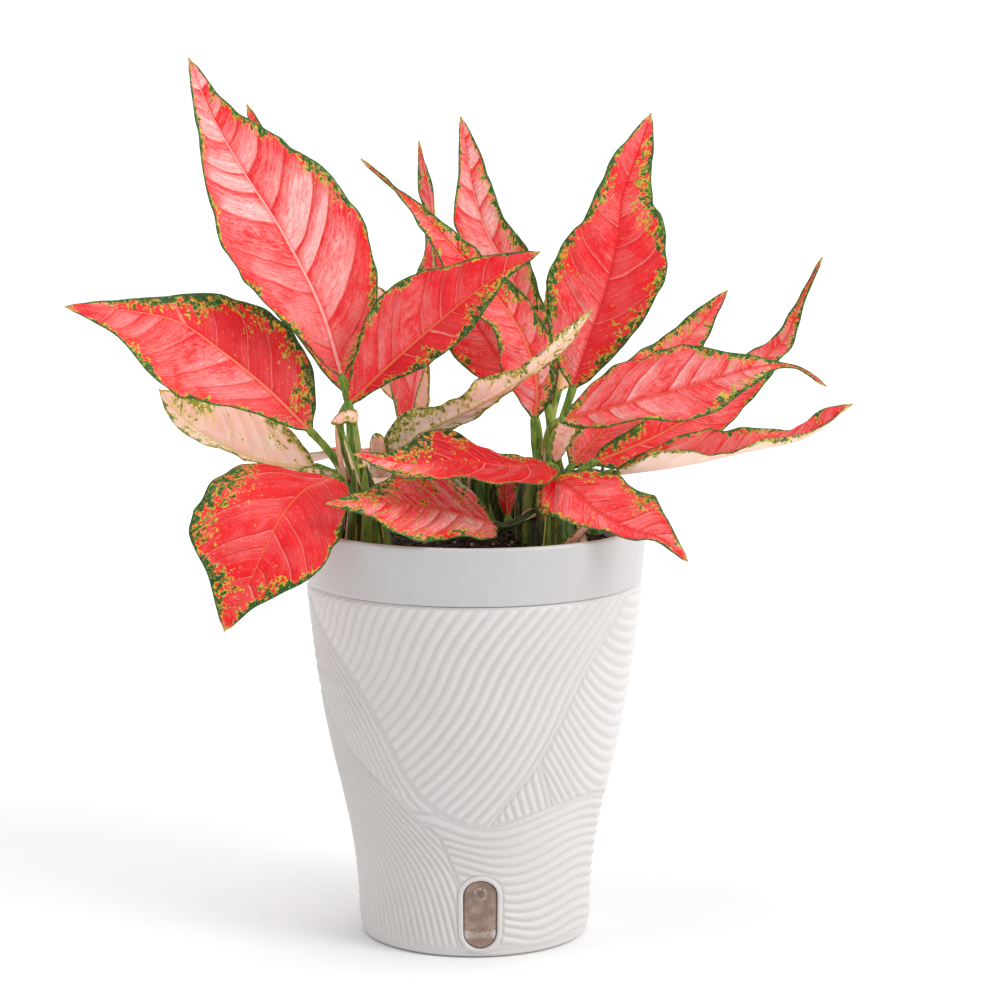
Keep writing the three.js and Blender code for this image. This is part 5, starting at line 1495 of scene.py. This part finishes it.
# Layers of the skin's colours; the values are named in stalk_skin.
STALK_GREEN = (("streak", 0.35, 0.65, srgb(138, 168, 64)), ("cloud", 0.5, 0.7, 0.5, srgb(178, 188, 96)),
               ("off_painted_shade_stalk", 0.004, 0.003, 0.8, GREEN_BLACK))
OLD_BASES = (("tint", 0.2, 0.5, srgb(72, 104, 36)), ("tint", 0.55, 0.75, srgb(116, 146, 56)),
             ("tint", 0.86, 0.92, srgb(236, 176, 148)), ("streak", 0.45, 0.7, 0.45, srgb(158, 156, 74)),
             ("streak", 0.48, 0.3, 0.5, srgb(30, 44, 16)), ("old_edge", srgb(206, 190, 96)))
FLAPS = (("q", 0.1, 0.8, srgb(240, 204, 178)), ("flap_edge", srgb(232, 140, 126)),
         ("fine", 0.5, 0.8, 0.3, srgb(150, 110, 70)))
TORN_BASES = (("blot", 0.4, 0.65, UNDER_ROSE), ("rim", 0.55, 0.7, UNDER_YELLOW),
              ("rim", 0.7, 0.85, "torn_green"))
TORN_GREEN = (("fine", 0.4, 0.6, UNDER_LIME),)
SKIN_KINDS = (("kind", 0.5, 0.7, "stalk"), ("kind", 1.5, 1.7, "flap"), ("kind", 2.7, 2.8, "torn"))


def stalk_skin():
    """Green streaked flesh, pale sheaths with pink edges, old leaf bases, and torn ones with a green rim."""
    g = Graph("stalk_skin")
    t, q, kind = g.attribute("grow")
    where = g.coords()
    streak = g.noise(g.scaled(where, (1, 1, 0.12)), 620, 3, 0.6)
    cloud, fine, blot = g.noise(where, 60, 2), g.noise(where, 1500, 2), g.noise(where, 420, 3, 0.65)
    side = g.math("ABSOLUTE", g.less(q, 0.5))
    p = dict(q=q, kind=kind, streak=streak, cloud=cloud, fine=fine, blot=blot, tint=g.times(kind, 2.2))
    # painted shade: the stalk of leaf_front_lowest turns near black
    p["off_painted_shade_stalk"] = g.math("ABSOLUTE", g.less(g.math("FRACT", kind), PAINTED_SHADE_STALK))
    p["old_edge"] = g.times(g.step(side, 0.40, 0.46), g.step(cloud, 0.45, 0.55))
    p["flap_edge"] = g.times(g.step(q, 0.7, 1.0), g.step(cloud, 0.4, 0.6))
    # the green rim of a torn base is the wider, the further its kind is above three
    rim = g.add(g.step(side, 0.30, 0.46), g.step(t, 0.8, 1.0))
    p["rim"] = g.add(g.add(rim, g.times(g.less(kind, 3.0), 1.1)), g.sway(blot, 4.0))
    p["torn_green"] = g.lay(UNDER_GREEN, p, TORN_GREEN)
    p["stalk"] = g.lay(srgb(70, 116, 36), p, STALK_GREEN)
    p["flap"] = g.lay(srgb(136, 158, 76), p, FLAPS)
    p["torn"] = g.lay(UNDER_PINK, p, TORN_BASES)
    colour = g.lay(g.lay(srgb(40, 56, 22), p, OLD_BASES), p, SKIN_KINDS)
    height = g.add(streak, g.times(fine, 0.4))
    g.shader(colour, g.step(streak, 0.3, 0.7, 0.38, 0.52), g.bump(height, 0.00018, 0.7), specular=0.35)
    return g.holder


# ---- the object ---------------------------------------------------------------------------------
make_camera()
make_studio()
LEAF_TOP, LEAF_UNDER, STALK_SKIN = leaf_top(), leaf_under(), stalk_skin()
outer_pot()
inner_pot()
water_window()
soil()
for stem_name in STEMS:
    stem(stem_name)
for number, (leaf_name, row) in enumerate(LEAVES.items()):
    blade(leaf_name, row, number + 1)

bpy.context.view_layer.update()
